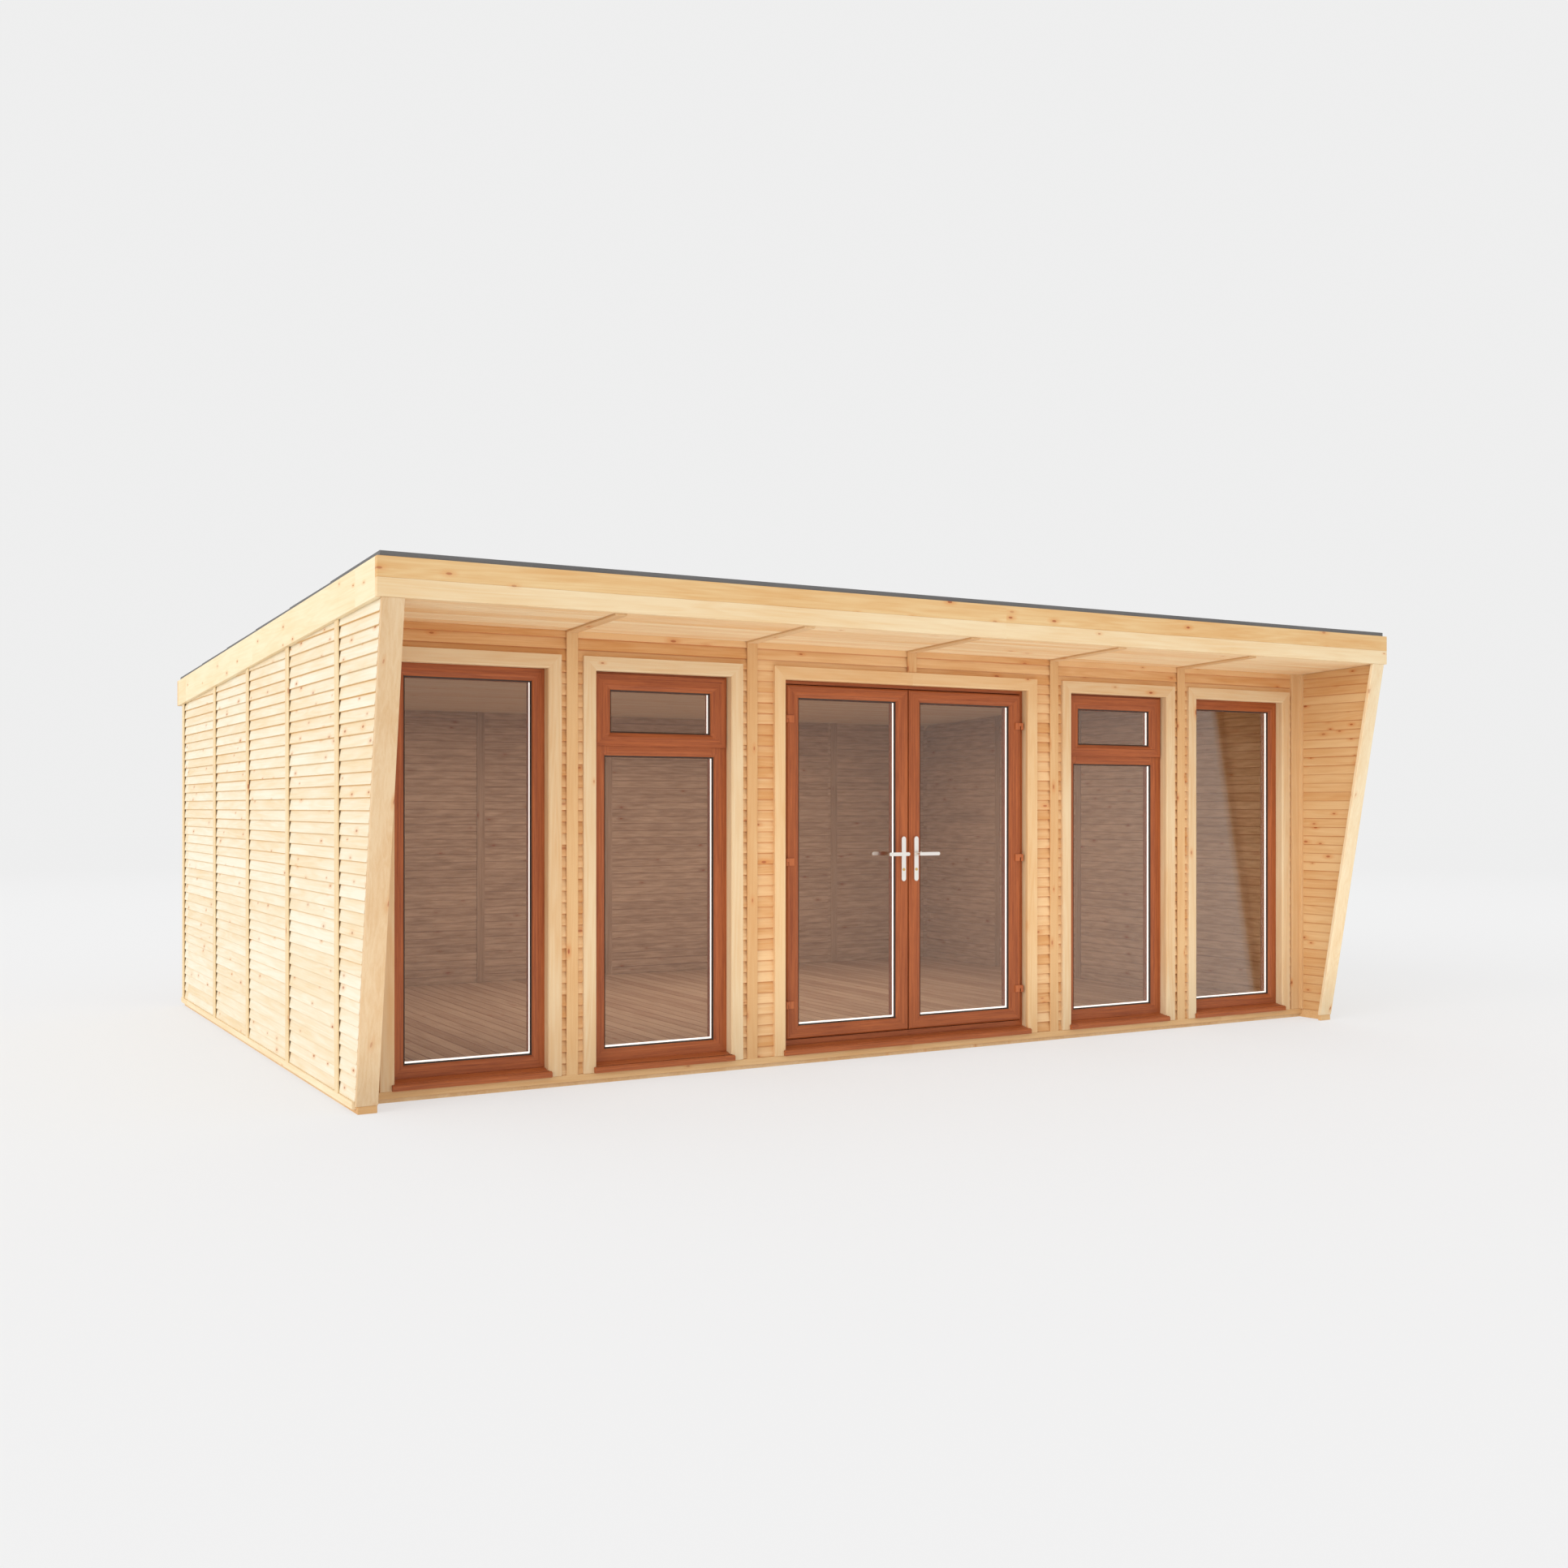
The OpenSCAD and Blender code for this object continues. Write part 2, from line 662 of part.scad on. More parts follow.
module plain_flag(w) {
    start = knuckle_r + leaf_gap;
    translate([start, 0]) square([w - start, flag_t]);
}

// Stands a flag's outline on a face at the hinge line. The flag runs towards -X.
module hinge_piece(face_y, z, h)
    translate([hinge_x, face_y, z]) linear_extrude(h) mirror([1, 0]) mirror([0, 1]) children();

module leaf_hinges() color(oak)
    for (z = hinge_heights)
        difference() {
            union() {
                hinge_piece(leaf_y, z + joint_gap, hinge_h / 2 - joint_gap)
                    knuckle_flag(leaf_flag_w, hinge_out, knuckle_r);
                hinge_piece(leaf_y, z - hinge_h / 2, hinge_h) plain_flag(leaf_flag_w);
            }
            translate([hinge_x, hinge_y, z - over])
                cylinder(r = pin_r + running_fit, h = hinge_h / 2 - knuckle_r / 2 + over);
        }

module right_leaf_hinges() leaf_hinges();

module left_leaf_hinges() mirror([1, 0, 0]) leaf_hinges();

module frame_hinges() color(oak) both_sides()
    for (z = hinge_heights)
        union() {
            translate([2 * hinge_x, 0, 0]) mirror([1, 0, 0]) {
                hinge_piece(frame_y, z - hinge_h / 2, hinge_h / 2 - joint_gap)
                    knuckle_flag(frame_flag_w, hinge_out + leaf_proud, leaf_gap / 2);
                hinge_piece(frame_y, z - hinge_h / 2, hinge_h) plain_flag(frame_flag_w);
            }
            translate([hinge_x, hinge_y, z - hinge_h / 2])
                cylinder(r = pin_r, h = hinge_h - knuckle_r);
        }

// A handle plate with round ends on the leaf's outer face, with the lock's face.
module plate() difference() {
    low = handle_z + plate_top - plate_h;
    union() {
        translate([handle_x, 0, low + plate_w / 2]) rotate([90, 0, 0]) linear_extrude(plate_t) {
            circle(r = plate_w / 2);
            translate([0, plate_h - plate_w]) circle(r = plate_w / 2);
            translate([-plate_w / 2, 0]) square([plate_w, plate_h - plate_w]);
        }
        translate([handle_x, 0, handle_z - lock_drop]) rotate([90, 0, 0])
            cylinder(r = lock_r, h = plate_t + plate_t / 4);
    }
    translate([handle_x, over, handle_z]) rotate([90, 0, 0])
        cylinder(r = neck_r + running_fit, h = plate_t + 2 * over);
}

// Draws the children on the leaf's outer face and, turned about, on its inner face.
module both_faces() {
    translate([0, leaf_y, 0]) children();
    translate([0, leaf_y + leaf_t, 0]) mirror([0, 1, 0]) children();
}

module right_plates() color(silver) both_faces() plate();

module left_plates() mirror([1, 0, 0]) right_plates();

// A neck and a lever that points away from the meeting edge.
module lever() {
    translate([handle_x, 0, handle_z]) rotate([90, 0, 0]) {
        cylinder(r = neck_r, h = lever_out - lever_t / 2);
        translate([0, 0, lever_out - lever_t]) linear_extrude(lever_t) {
            circle(r = lever_h / 2);
            translate([lever_l - lever_h / 2, 0]) circle(r = lever_h / 2);
            translate([0, -lever_h / 2]) square([lever_l - lever_h / 2, lever_h]);
        }
    }
}

module right_lever() color(silver) union() {
    both_faces() lever();
    translate([handle_x, leaf_y + leaf_t + over, handle_z]) rotate([90, 0, 0])
        cylinder(r = spindle_r, h = leaf_t + 2 * over);
}

module left_lever() mirror([1, 0, 0]) right_lever();

base_bearers();
floor_deck();
base_trim();
wing_soles();
left_wall();
right_wall();
back_wall();
front_wall_left();
front_wall_right();
front_wall_header();
left_wing();
right_wing();
left_wing_post();
right_wing_post();
rafters();
roof_deck();
roof_covering();
soffit();
soffit_strips();
ceiling();
front_fascia_upper();
front_fascia_lower();
left_fascia();
right_fascia();
back_fascia();
front_strips();
side_strips();
back_strips();
inner_strips();
corner_trims();
window_casings();
door_casing();
window_sills();
door_sill();
left_window_frames();
right_window_frames();
fanlight_sashes();
window_glass();
door_frame();
frame_hinges();
left_leaf();
left_leaf_glass();
left_leaf_hinges();
left_plates();
left_lever();
right_leaf();
right_leaf_glass();
right_leaf_hinges();
right_plates();
right_lever();
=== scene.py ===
import json
import math

import bmesh
import bpy
import numpy as np
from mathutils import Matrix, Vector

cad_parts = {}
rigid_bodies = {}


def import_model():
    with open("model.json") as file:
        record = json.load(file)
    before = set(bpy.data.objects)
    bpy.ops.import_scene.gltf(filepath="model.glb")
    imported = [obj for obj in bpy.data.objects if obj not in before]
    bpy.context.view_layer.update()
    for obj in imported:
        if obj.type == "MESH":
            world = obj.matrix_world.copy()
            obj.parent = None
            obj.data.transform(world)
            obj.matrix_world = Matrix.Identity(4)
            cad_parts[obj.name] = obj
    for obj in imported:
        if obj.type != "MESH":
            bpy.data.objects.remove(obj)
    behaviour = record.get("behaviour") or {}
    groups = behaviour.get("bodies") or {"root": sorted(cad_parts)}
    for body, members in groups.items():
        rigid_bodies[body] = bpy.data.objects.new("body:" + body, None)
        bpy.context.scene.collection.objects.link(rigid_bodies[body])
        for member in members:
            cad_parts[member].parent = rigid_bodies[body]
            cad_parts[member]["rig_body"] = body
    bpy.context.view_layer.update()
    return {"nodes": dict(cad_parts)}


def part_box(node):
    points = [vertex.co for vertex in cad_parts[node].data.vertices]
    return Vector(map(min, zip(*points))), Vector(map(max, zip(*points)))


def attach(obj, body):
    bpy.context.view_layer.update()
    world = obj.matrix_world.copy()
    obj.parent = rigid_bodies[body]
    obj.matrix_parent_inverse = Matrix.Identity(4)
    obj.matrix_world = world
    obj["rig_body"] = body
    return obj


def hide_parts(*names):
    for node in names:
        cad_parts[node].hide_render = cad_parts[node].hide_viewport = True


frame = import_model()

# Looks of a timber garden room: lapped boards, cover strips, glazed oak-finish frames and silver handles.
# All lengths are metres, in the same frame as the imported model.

nodes = frame["nodes"]

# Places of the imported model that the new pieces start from
wall_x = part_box("right_wall")[1].x
room_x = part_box("right_wall")[0].x
wing_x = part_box("right_wing")[0].x
wall_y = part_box("front_wall_left")[0].y
room_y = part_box("front_wall_left")[1].y
back_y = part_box("back_wall")[1].y
room_back_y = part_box("back_wall")[0].y
base_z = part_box("floor_deck")[1].z
floor_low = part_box("floor_deck")[0].z
head_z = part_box("front_wall_header")[0].z
front_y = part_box("front_fascia_upper")[0].y
edge_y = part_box("front_fascia_upper")[1].y
end_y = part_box("back_fascia")[0].y
corner_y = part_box("corner_trims")[0].y
roof_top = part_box("front_fascia_upper")[1].z
slope = (roof_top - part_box("back_fascia")[1].z) / (end_y - front_y)

# Depths below the fascia's top edge: the soffit's underside and its upper face
under_roof = 0.1761
soffit_top = 0.164

# Boards: what one covers on a wall and on the floor, how far a lapped one's lip and upper edge stand out, and
# how far those on a wing and those of the lining do
course = 0.0574
floor_pitch = 0.095
lip = 0.0105
thin = 0.001
wing_lip = 0.006
lining_face = 0.006
groove = 0.003

# Bays of boards on the front, the back and the sides, and where the first bay of a side starts
front_bay = 1.03
back_bay = 1.059
side_bay = 1.017
side_start = -1.813

# Corner trims in front, roof felt, and how far a new skin is sunk into what carries it
corner_w = 0.092
felt_sheets = 6
felt_t = 0.021
felt_lap = 0.0038
sunk = 0.0005

# Glass units: a pane, how far the frame covers a unit's edge, and the spacer between the panes
pane = 0.004
sight = 0.012
spacer_out = sight - 0.008
spacer_in = sight + 0.0015
spacer_near = 0.0002
spacer_far = 0.0100
foot_lift = 0.006
head_lift = 0.0035

# Units whose foot is above this height are fanlights, and their spacer's foot lies behind the sash
fanlight_z = 1.0
fanlight_lift = -0.0035

# Seal round a unit's sight edge, as (across, up, depth) from that edge: it follows the frame's moulding. It
# is partly a real dark seal and partly painted shade, as it reaches up the moulding's slope where there is
# only shade.
seal_and_shade_loop = np.array([
    (-0.0070, -0.0070, -0.0010), (-0.0065, -0.0095, -0.0095), (-0.0043, -0.0085, -0.0092),
    (0.0008, 0.0005, -0.0004), (0.0008, 0.0005, -0.0001)])


def roof(y, drop):
    """Height of a plane parallel to the roof, drop below the fascia's top edge."""
    return roof_top - (y - front_y) * slope - drop


# Shapes


def corners(node):
    """Places of a node's corners, one row each."""
    places = np.empty(len(nodes[node].data.vertices) * 3)
    nodes[node].data.vertices.foreach_get("co", places)
    return places.reshape(-1, 3)


def solids(node):
    """Lowest and highest corner of each separate solid of a node, found by walking over shared corners."""
    mesh = bmesh.new()
    mesh.from_mesh(nodes[node].data)
    bmesh.ops.remove_doubles(mesh, verts=mesh.verts, dist=1e-5)
    found = []
    left = set(mesh.verts)
    while left:
        walk = [left.pop()]
        places = []
        while walk:
            corner = walk.pop()
            places.append(corner.co[:])
            near = {edge.other_vert(corner) for edge in corner.link_edges} & left
            left -= near
            walk.extend(near)
        places = np.array(places)
        found.append((places.min(0), places.max(0)))
    mesh.free()
    return sorted(found, key=lambda box: tuple(box[0]))


def shell(sections, closed=False):
    """A closed skin through a row of sections, each a loop of points: corner j of section i joins corner j of
    the next. A closed row joins its last section to the first. An open one gets a flat face at each end."""
    count, size = sections.shape[:2]
    step = np.arange(count if closed else count - 1)[:, None] * size
    a = step + np.arange(size)
    b = step + (np.arange(size) + 1) % size
    whole = count * size
    quads = np.stack([a, b, (b + size) % whole, (a + size) % whole], -1).reshape(-1, 4).tolist()
    if not closed:
        quads += [list(range(size))[::-1], list(range(whole - size, whole))]
    return sections.reshape(-1, 3), quads


def prism(loop, low, high, place):
    """A loop of (a, b) points carried from low to high, both of which may differ from point to point. place
    turns the way along, a and b into x, y and z."""
    a, b = np.asarray(loop, float).T
    run = np.stack([np.broadcast_to(low, a.shape), np.broadcast_to(high, a.shape)])
    return shell(np.stack(np.broadcast_arrays(*place(run, a, b)), -1))


def eased(a1, a2, b1, b2, ease=0.0015):
    """A rectangle whose four corners are cut off at 45 degrees."""
    return np.array([
        (a1 + ease, b1), (a2 - ease, b1), (a2, b1 + ease), (a2, b2 - ease),
        (a2 - ease, b2), (a1 + ease, b2), (a1, b2 - ease), (a1, b1 + ease)])


def cut(height, out, low, high):
    """The part of a profile between two heights, with its ends worked out between the nearest points."""
    inside = (height > low + 1e-6) & (height < high - 1e-6)
    ends = np.interp([low, high], height, out)
    return np.concatenate([[low], height[inside], [high]]), np.concatenate([ends[:1], out[inside], ends[1:]])


def lapped(low, high, stand=lip):
    """Profile of lapped boards. Each stands out most at its lower lip, whose corner is eased, and slopes back
    to a thin upper edge: stand-out = lip * (1 - share of the board's height), and a little more halfway."""
    count = int((high - base_z) / course) + 2
    share = np.array([0.0, 0.0005, 0.03, 0.5, 0.97, 1.0])
    out = np.array([0.0, 0.8, 1.0, 0.58, 0.0, 0.0]) * (stand - thin) + thin
    height = base_z + course * (np.arange(count)[:, None] + share)
    return cut(height.ravel() + np.tile([0, 0, 0, 0, 0, -1e-7], count), np.tile(out, count), low, high)


def matched(low, high, pitch, face):
    """Profile of matched boards: a flat face with a groove of 45 degrees at each joint."""
    count = int((high - low) / pitch) + 2
    share = np.array([0.0, groove / pitch, 1 - groove / pitch])
    out = face - np.array([groove, 0.0, 0.0])
    height = low + pitch * (np.arange(count)[:, None] + share)
    return cut(height.ravel(), np.tile(out, count), low, high)


def lining_boards(low, high):
    """Profile of the matched boards inside."""
    return matched(low, high, course, lining_face)


def boarding(profile, start, finish, place, back=-sunk):
    """Boards with a given profile, carried from start to finish along the wall and closed by a flat back.
    start and finish give the ends at each height."""
    height, out = profile
    loop = np.stack([np.concatenate([height, height[::-1]]),
                     np.concatenate([out, np.full(len(out), back)])], -1)
    return prism(loop, start(loop[:, 0]), finish(loop[:, 0]), place)


def level(place):
    """An end that is upright: the same place at every height."""
    return lambda height: height * 0 + place


def under_slope(last):
    """An end at the last place of a side wall, or at the roof's underside where that comes sooner."""
    return lambda height: np.minimum(last, front_y + (roof_top - under_roof - height) / slope)


def on_side(side, face, way):
    """Boards on a face of a side wall, left where side is -1. They stand outwards where way is 1."""
    return lambda y, z, out: (side * (face + way * out), y, z)


def on_front(face, way):
    """Boards on a face that looks to the front, where way is -1, or to the back."""
    return lambda x, z, out: (x, face + way * out, z)


def boards_round(openings, end, head, top, profile, place):
    """Boards from -end to end: beside a row of openings up to head, and over them up to top."""
    edges = [-end] + [corner[0] for opening in openings for corner in opening] + [end]
    runs = [(x1, x2, base_z, head) for x1, x2 in zip(edges[::2], edges[1::2])] + [(-end, end, head, top)]
    return [boarding(profile(low, high), level(x1), level(x2), place) for x1, x2, low, high in runs]


def roof_boards(y1, y2, x):
    """Boards parallel to the roof: the section in y and drop is carried from -x to x."""
    y, out = matched(math.floor(y1 / course) * course, y2, course, under_roof - 0.0001)
    inside = y > y1
    y, out = np.append(y1, y[inside]), np.append(out[-1], out[inside])
    loop = np.stack([np.concatenate([y, y[::-1]]), np.concatenate([out, np.full(len(y), soffit_top)])], -1)
    return prism(loop, -x, x, lambda run, y, drop: (run, y, roof(y, drop)))


def upright(x1, x2, y1, y2, low):
    """An upright bar with eased edges, from a level foot up to the soffit."""
    loop = eased(x1, x2, y1, y2)
    return prism(loop, low, roof(loop[:, 1], under_roof), lambda z, x, y: (x, y, z))


def ring(box, loop):
    """A loop of (across, up, y) points carried round the four corners of a box's face, with mitred corners.
    across is how far the sides stand in from the box, and up how far its foot and top do."""
    (x1, _, z1), (x2, _, z2) = box
    across, up, y = np.asarray(loop, float).T
    x = np.stack([x1 + across, x2 - across, x2 - across, x1 + across])
    z = np.stack([z1 + up, z1 + up, z2 - up, z2 - up])
    return shell(np.stack([x, np.broadcast_to(y, x.shape), z], -1), closed=True)


def slab(box, y1, y2):
    """A flat sheet that fills a box's face between two depths."""
    (x1, _, z1), (x2, _, z2) = box
    return prism(eased(x1, x2, z1, z2, 0.0005), y1, y2, lambda y, x, z: (x, y, z))


def piece(name, shells, body, material, stands_for=()):
    """Joins closed skins into one mesh object whose faces point outwards, and lets it ride on a body."""
    points = np.concatenate([part[0] for part in shells])
    starts = np.cumsum([0] + [len(part[0]) for part in shells[:-1]])
    faces = [[corner + int(start) for corner in face]
             for part, start in zip(shells, starts) for face in part[1]]
    mesh = bpy.data.meshes.new(name)
    mesh.from_pydata(points.tolist(), [], faces)
    turned = bmesh.new()
    turned.from_mesh(mesh)
    bmesh.ops.recalc_face_normals(turned, faces=turned.faces)
    turned.to_mesh(mesh)
    turned.free()
    return settle(bpy.data.objects.new(name, mesh), body, material, stands_for)


def timber_piece(name, shells, material, stands_for=()):
    """A piece of the building itself that is made of timber."""
    return piece(name, shells, "building", material, stands_for)


def settle(made, body, material, stands_for=()):
    """Puts an object in the scene with its material and body, and hides the nodes that it stands for."""
    bpy.context.scene.collection.objects.link(made)
    made.data.materials.clear()
    made.data.materials.append(material)
    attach(made, body)
    if stands_for:
        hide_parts(*stands_for)
    return made


def softened(node, material, ease, rounds=2):
    """A copy of a node whose sharp edges are eased by a small round, in place of the node."""
    mesh = bpy.data.meshes.new(node + "_eased")
    merged = bmesh.new()
    merged.from_mesh(nodes[node].data)
    bmesh.ops.remove_doubles(merged, verts=merged.verts, dist=1e-5)
    bmesh.ops.dissolve_limit(merged, angle_limit=math.radians(0.5), verts=merged.verts, edges=merged.edges)
    merged.to_mesh(mesh)
    merged.free()
    made = bpy.data.objects.new(node + "_eased", mesh)
    easing = made.modifiers.new("easing", "BEVEL")
    easing.width = ease
    easing.segments = rounds
    easing.limit_method = "ANGLE"
    easing.angle_limit = math.radians(25)
    return settle(made, nodes[node]["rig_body"], material, [node])


# Materials


class Wire:
    """A shader socket. Its operators add Math nodes, so that shader maths reads as plain expressions."""

    def __init__(self, tree, socket):
        self.tree = tree
        self.socket = socket

    def node(self, kind, settings, inputs, output=0):
        """Adds a node of a kind. Its settings come first, and then its sockets get values or wires."""
        made = self.tree.nodes.new("ShaderNode" + kind)
        for name, value in settings.items():
            setattr(made, name, value)
        for name, value in inputs.items():
            if isinstance(value, Wire):
                self.tree.links.new(value.socket, made.inputs[name])
            else:
                made.inputs[name].default_value = value
        return Wire(self.tree, made.outputs[output])

    def maths(self, operation, *values):
        """A Math node over some values."""
        return self.node("Math", {"operation": operation}, dict(enumerate(values)))

    def __add__(self, other):
        return self.maths("ADD", self, other)

    __radd__ = __add__

    def __sub__(self, other):
        return self.maths("SUBTRACT", self, other)

    def __rsub__(self, other):
        return self.maths("SUBTRACT", other, self)

    def __mul__(self, other):
        return self.maths("MULTIPLY", self, other)

    __rmul__ = __mul__

    def __truediv__(self, other):
        return self.maths("DIVIDE", self, other)

    def __lt__(self, other):
        return self.maths("LESS_THAN", self, other)

    def __gt__(self, other):
        return self.maths("GREATER_THAN", self, other)

    def __abs__(self):
        return self.maths("ABSOLUTE", self)

    def floor(self):
        return self.maths("FLOOR", self)

    def fraction(self):
        """What this value has over the whole number below it."""
        return self - self.floor()

    def sine(self):
        return self.maths("SINE", self)

    def least(self, other):
        return self.maths("MINIMUM", self, other)

    def held(self):
        """This value kept between 0 and 1."""
        return self.node("Clamp", {}, {0: self})

    def smooth(self, low, high):
        """A soft step from 0 at low to 1 at high."""
        return self.node("MapRange", {"interpolation_type": "SMOOTHSTEP"},
                         {"Value": self, "From Min": low, "From Max": high})

    def pick(self, low, high):
        """low where this is 0 and high where it is 1."""
        return low + (high - low) * self

    def blend(self, low, high, way="MIX"):
        """A colour from low, where this is 0, to high, or to low times high, where it is 1."""
        return self.node("Mix", {"data_type": "RGBA", "blend_type": way}, {0: self, 6: low, 7: high}, 2)

    def parts(self):
        """The three numbers of a place or colour."""
        split = self.node("SeparateXYZ", {}, {0: self}).socket.node
        return [Wire(self.tree, socket) for socket in split.outputs]

    def joined(self, second, third):
        """A place made from this value and two more."""
        return self.node("CombineXYZ", {}, {0: self, 1: second, 2: third})

    def noise(self, scale=1.0, detail=3.0, rough=0.5, distortion=0.0):
        """Soft noise from 0 to 1 at this place."""
        return self.node("TexNoise", {}, {"Vector": self, "Scale": scale, "Detail": detail,
                                          "Roughness": rough, "Distortion": distortion})

    def chance(self):
        """A number from 0 to 1 that seems random, the same wherever this value is the same."""
        return self.node("TexWhiteNoise", {"noise_dimensions": "1D"}, {"W": self})


def colour(red, green, blue, times=(1.0, 1.0, 1.0)):
    """A colour, each part of which may be multiplied."""
    return (red * times[0], green * times[1], blue * times[2], 1.0)


def blank(name):
    """A new material with its shader, and its place in the model as a wire."""
    made = bpy.data.materials.new(name)
    made.use_nodes = True
    tree = made.node_tree
    shader = tree.nodes["Principled BSDF"]
    place = Wire(tree, tree.nodes.new("ShaderNodeTexCoord").outputs["Object"])
    return made, shader, place


def dress(place, shader, tint, rough, height, distance):
    """Links what changes over the surface: its colour, its roughness and the height behind its bump."""
    bump = place.node("Bump", {}, {"Strength": 1.0, "Distance": distance, "Height": height})
    for name, wire in (("Base Color", tint), ("Roughness", rough), ("Normal", bump)):
        place.tree.links.new(wire.socket, shader.inputs[name])


def timber(name, lay, pale, honey, vary=0.5, knotty=0.3, joint=None, dusk=0.5, shade=(0.55, 0.34, 0.28),
           patchy=1.7, grain=0.7, fine=(2.4, 95.0), right=None):
    """Planed softwood. lay gives the ways along, across and into the grain and the board's number. Growth
    rings are level lines of a noise that is stretched along the grain, fibres are a finer one, and knots are
    the middles of some scattered cells. Each board has a tint of its own, between pale and honey, and vary
    says how much they differ. knotty is the share of cells with a knot. joint gives how far up its board a
    place is, from 0 to 1: painted shade darkens both ends, at the joint and under the lip of the next board.
    dusk says how much painted shade, and shade how dark it is beside honey. patchy is the strength of broad
    tints and grain that of fine lines, whose closeness along and across is fine. right is what the tint is
    multiplied by on the right half of the building: painted shade, darker and warmer, for the cooler light
    on that half's outer side."""
    made, shader, place = blank(name)
    along, across, into, board = lay(*place.parts())
    luck = board.chance()
    shift = luck * 41.0

    def stretched(long, wide, moved=shift):
        """Where a noise is read: steps to the metre along and across the grain, moved for each board."""
        return (along * long + shift).joined(across * wide + moved, into * wide)

    figure = stretched(0.8, 11.0).noise(1.0, 2.0, 0.45, 0.3)
    rings = (figure * 52.0).sine() * 0.5 + 0.5
    fibre = stretched(4.0, 260.0, 0.0).noise(1.0, 2.0, 0.6)
    cloud = stretched(1.3, 7.0).noise(1.0, 4.0, 0.6)
    lines = stretched(*fine).noise(1.0, 3.0, 0.6)
    cells = stretched(3.4, 8.5)
    spot = cells.node("TexVoronoi", {"voronoi_dimensions": "2D"}, {"Vector": cells, "Scale": 1.0})
    draw = Wire(place.tree, spot.socket.node.outputs["Color"]).parts()
    present = (draw[0] < knotty) * (draw[1] * 0.6 + 0.4)
    nearness = 1.0 - spot / (0.034 + draw[2] * 0.038)
    core = nearness.smooth(0.0, 0.5) * present
    halo = nearness.smooth(-2.4, 0.4) * present
    broad = (cloud - 0.5) * patchy + (luck - 0.5) * vary
    warm = (rings * 0.22 + broad + (fibre - 0.5) * 0.5 + (lines - 0.5) * grain + 0.28).held()
    tint = warm.blend(colour(*pale), colour(*honey))
    tint = (halo * 0.6).blend(tint, colour(*honey, (0.97, 0.68, 0.46)))
    tint = (core * 0.95).blend(tint, colour(0.36, 0.085, 0.026))
    if joint:
        share = joint(*place.parts())
        # Painted shade at both ends of each board, at the joint and under the next board's lip
        joint_shade_mask = share.smooth(0.86, 1.0) + (1.0 - share.smooth(0.0, 0.05))
        edge = (joint_shade_mask * (0.35 + (board + 7.3).chance()) * dusk).held()
        tint = edge.blend(tint, colour(*honey, shade))
    # Painted shade: on the right half the tint is made darker and warmer for that side's cooler light
    if right:
        tint = (place.parts()[0] > 0.0).blend(tint, colour(*right), "MULTIPLY")
    rough = 0.56 + fibre * 0.16 - core * 0.12
    dress(place, shader, tint, rough, fibre * 0.6 + rings * 0.25 - core * 0.8, 0.0006)
    shader.inputs["Specular IOR Level"].default_value = 0.35
    return made


# Ways of the grain. In each board's number, the odd figures only keep one board's luck apart from another's.


def wall_joint(x, y, z):
    """How far up its board a place on a wall is, from 0 at the lip to 1 at the joint."""
    return ((z - base_z) / course).fraction()


def soffit_joint(x, y, z):
    """How far across its board a place on the soffit is."""
    return (y / course).fraction()


def floor_joint(x, y, z):
    """How far across its board a place on the floor is."""
    return ((x + wall_x) / floor_pitch).fraction()


def along_front(bay=front_bay):
    """Boards that run along the front or back, numbered by course and by bay."""
    return lambda x, y, z: (x, z, y, ((z - base_z) / course).floor() * 5.31 + (x / bay).floor() * 2.77 + 0.5)


def along_side(x, y, z):
    """Boards that run from front to back, numbered by course, by bay and by side."""
    number = ((z - base_z) / course).floor() * 5.31 + ((y - side_start) / side_bay).floor() * 2.77
    return y, z, x, number + (x > 0.0) * 1.3 + 0.5


def under_canopy(x, y, z):
    """Boards of the soffit and ceiling, which run along the front."""
    return x, y, z, (y / course).floor() * 5.3 + (x / front_bay).floor() * 2.77


def standing(x_step, y_step):
    """Timbers that stand, numbered by where they stand."""
    return lambda x, y, z: (z, x + y, x - y, (x / x_step).floor() * 3.17 + (y / y_step).floor() * 1.93 + 0.4)


def lying(bay, start=0.0):
    """Timbers that lie along the front, cut into lengths of a bay."""
    return lambda x, y, z: (x, z, y, ((x - start) / bay).floor() * 2.77 + 0.6)


def edging(x, y, z):
    """Timbers that lie along the left and right side, in lengths of 2.2 m."""
    return y, z, x, (y / 2.2).floor() * 2.7 + (x > 0.0) + 0.3


def deep_ways(bay):
    """Timbers that run from front to back, numbered by where they lie along the front."""
    return lambda x, y, z: (y, x, z, ((x + wall_x) / bay).floor() * 3.31 + 0.7)


def mitred(middles, half, low, high, width=1.0):
    """Grain of frames with mitred corners, which stand on both sides of the middle. It runs up where the
    frame's side is nearer than its top or foot, and nearer than width."""
    def lay(x, y, z):
        middle = middles[0] + abs(x) * 0.0
        for far in middles[1:]:
            middle = (abs(x) > (middles[0] + far) / 2).pick(middle, far)
        side = half - abs(abs(x) - middle)
        end = (z - low).least(high - z)
        up = (side < end) * (side < width)
        number = up * 1.7 + (x > 0.0) * 3.1 + (abs(x) > middle) * 2.3 * up
        number = number + (z > (low + high) / 2) * 4.1 * (1.0 - up)
        return up.pick(x, z), up.pick(z, x), y, number + middle * 7.0
    return lay


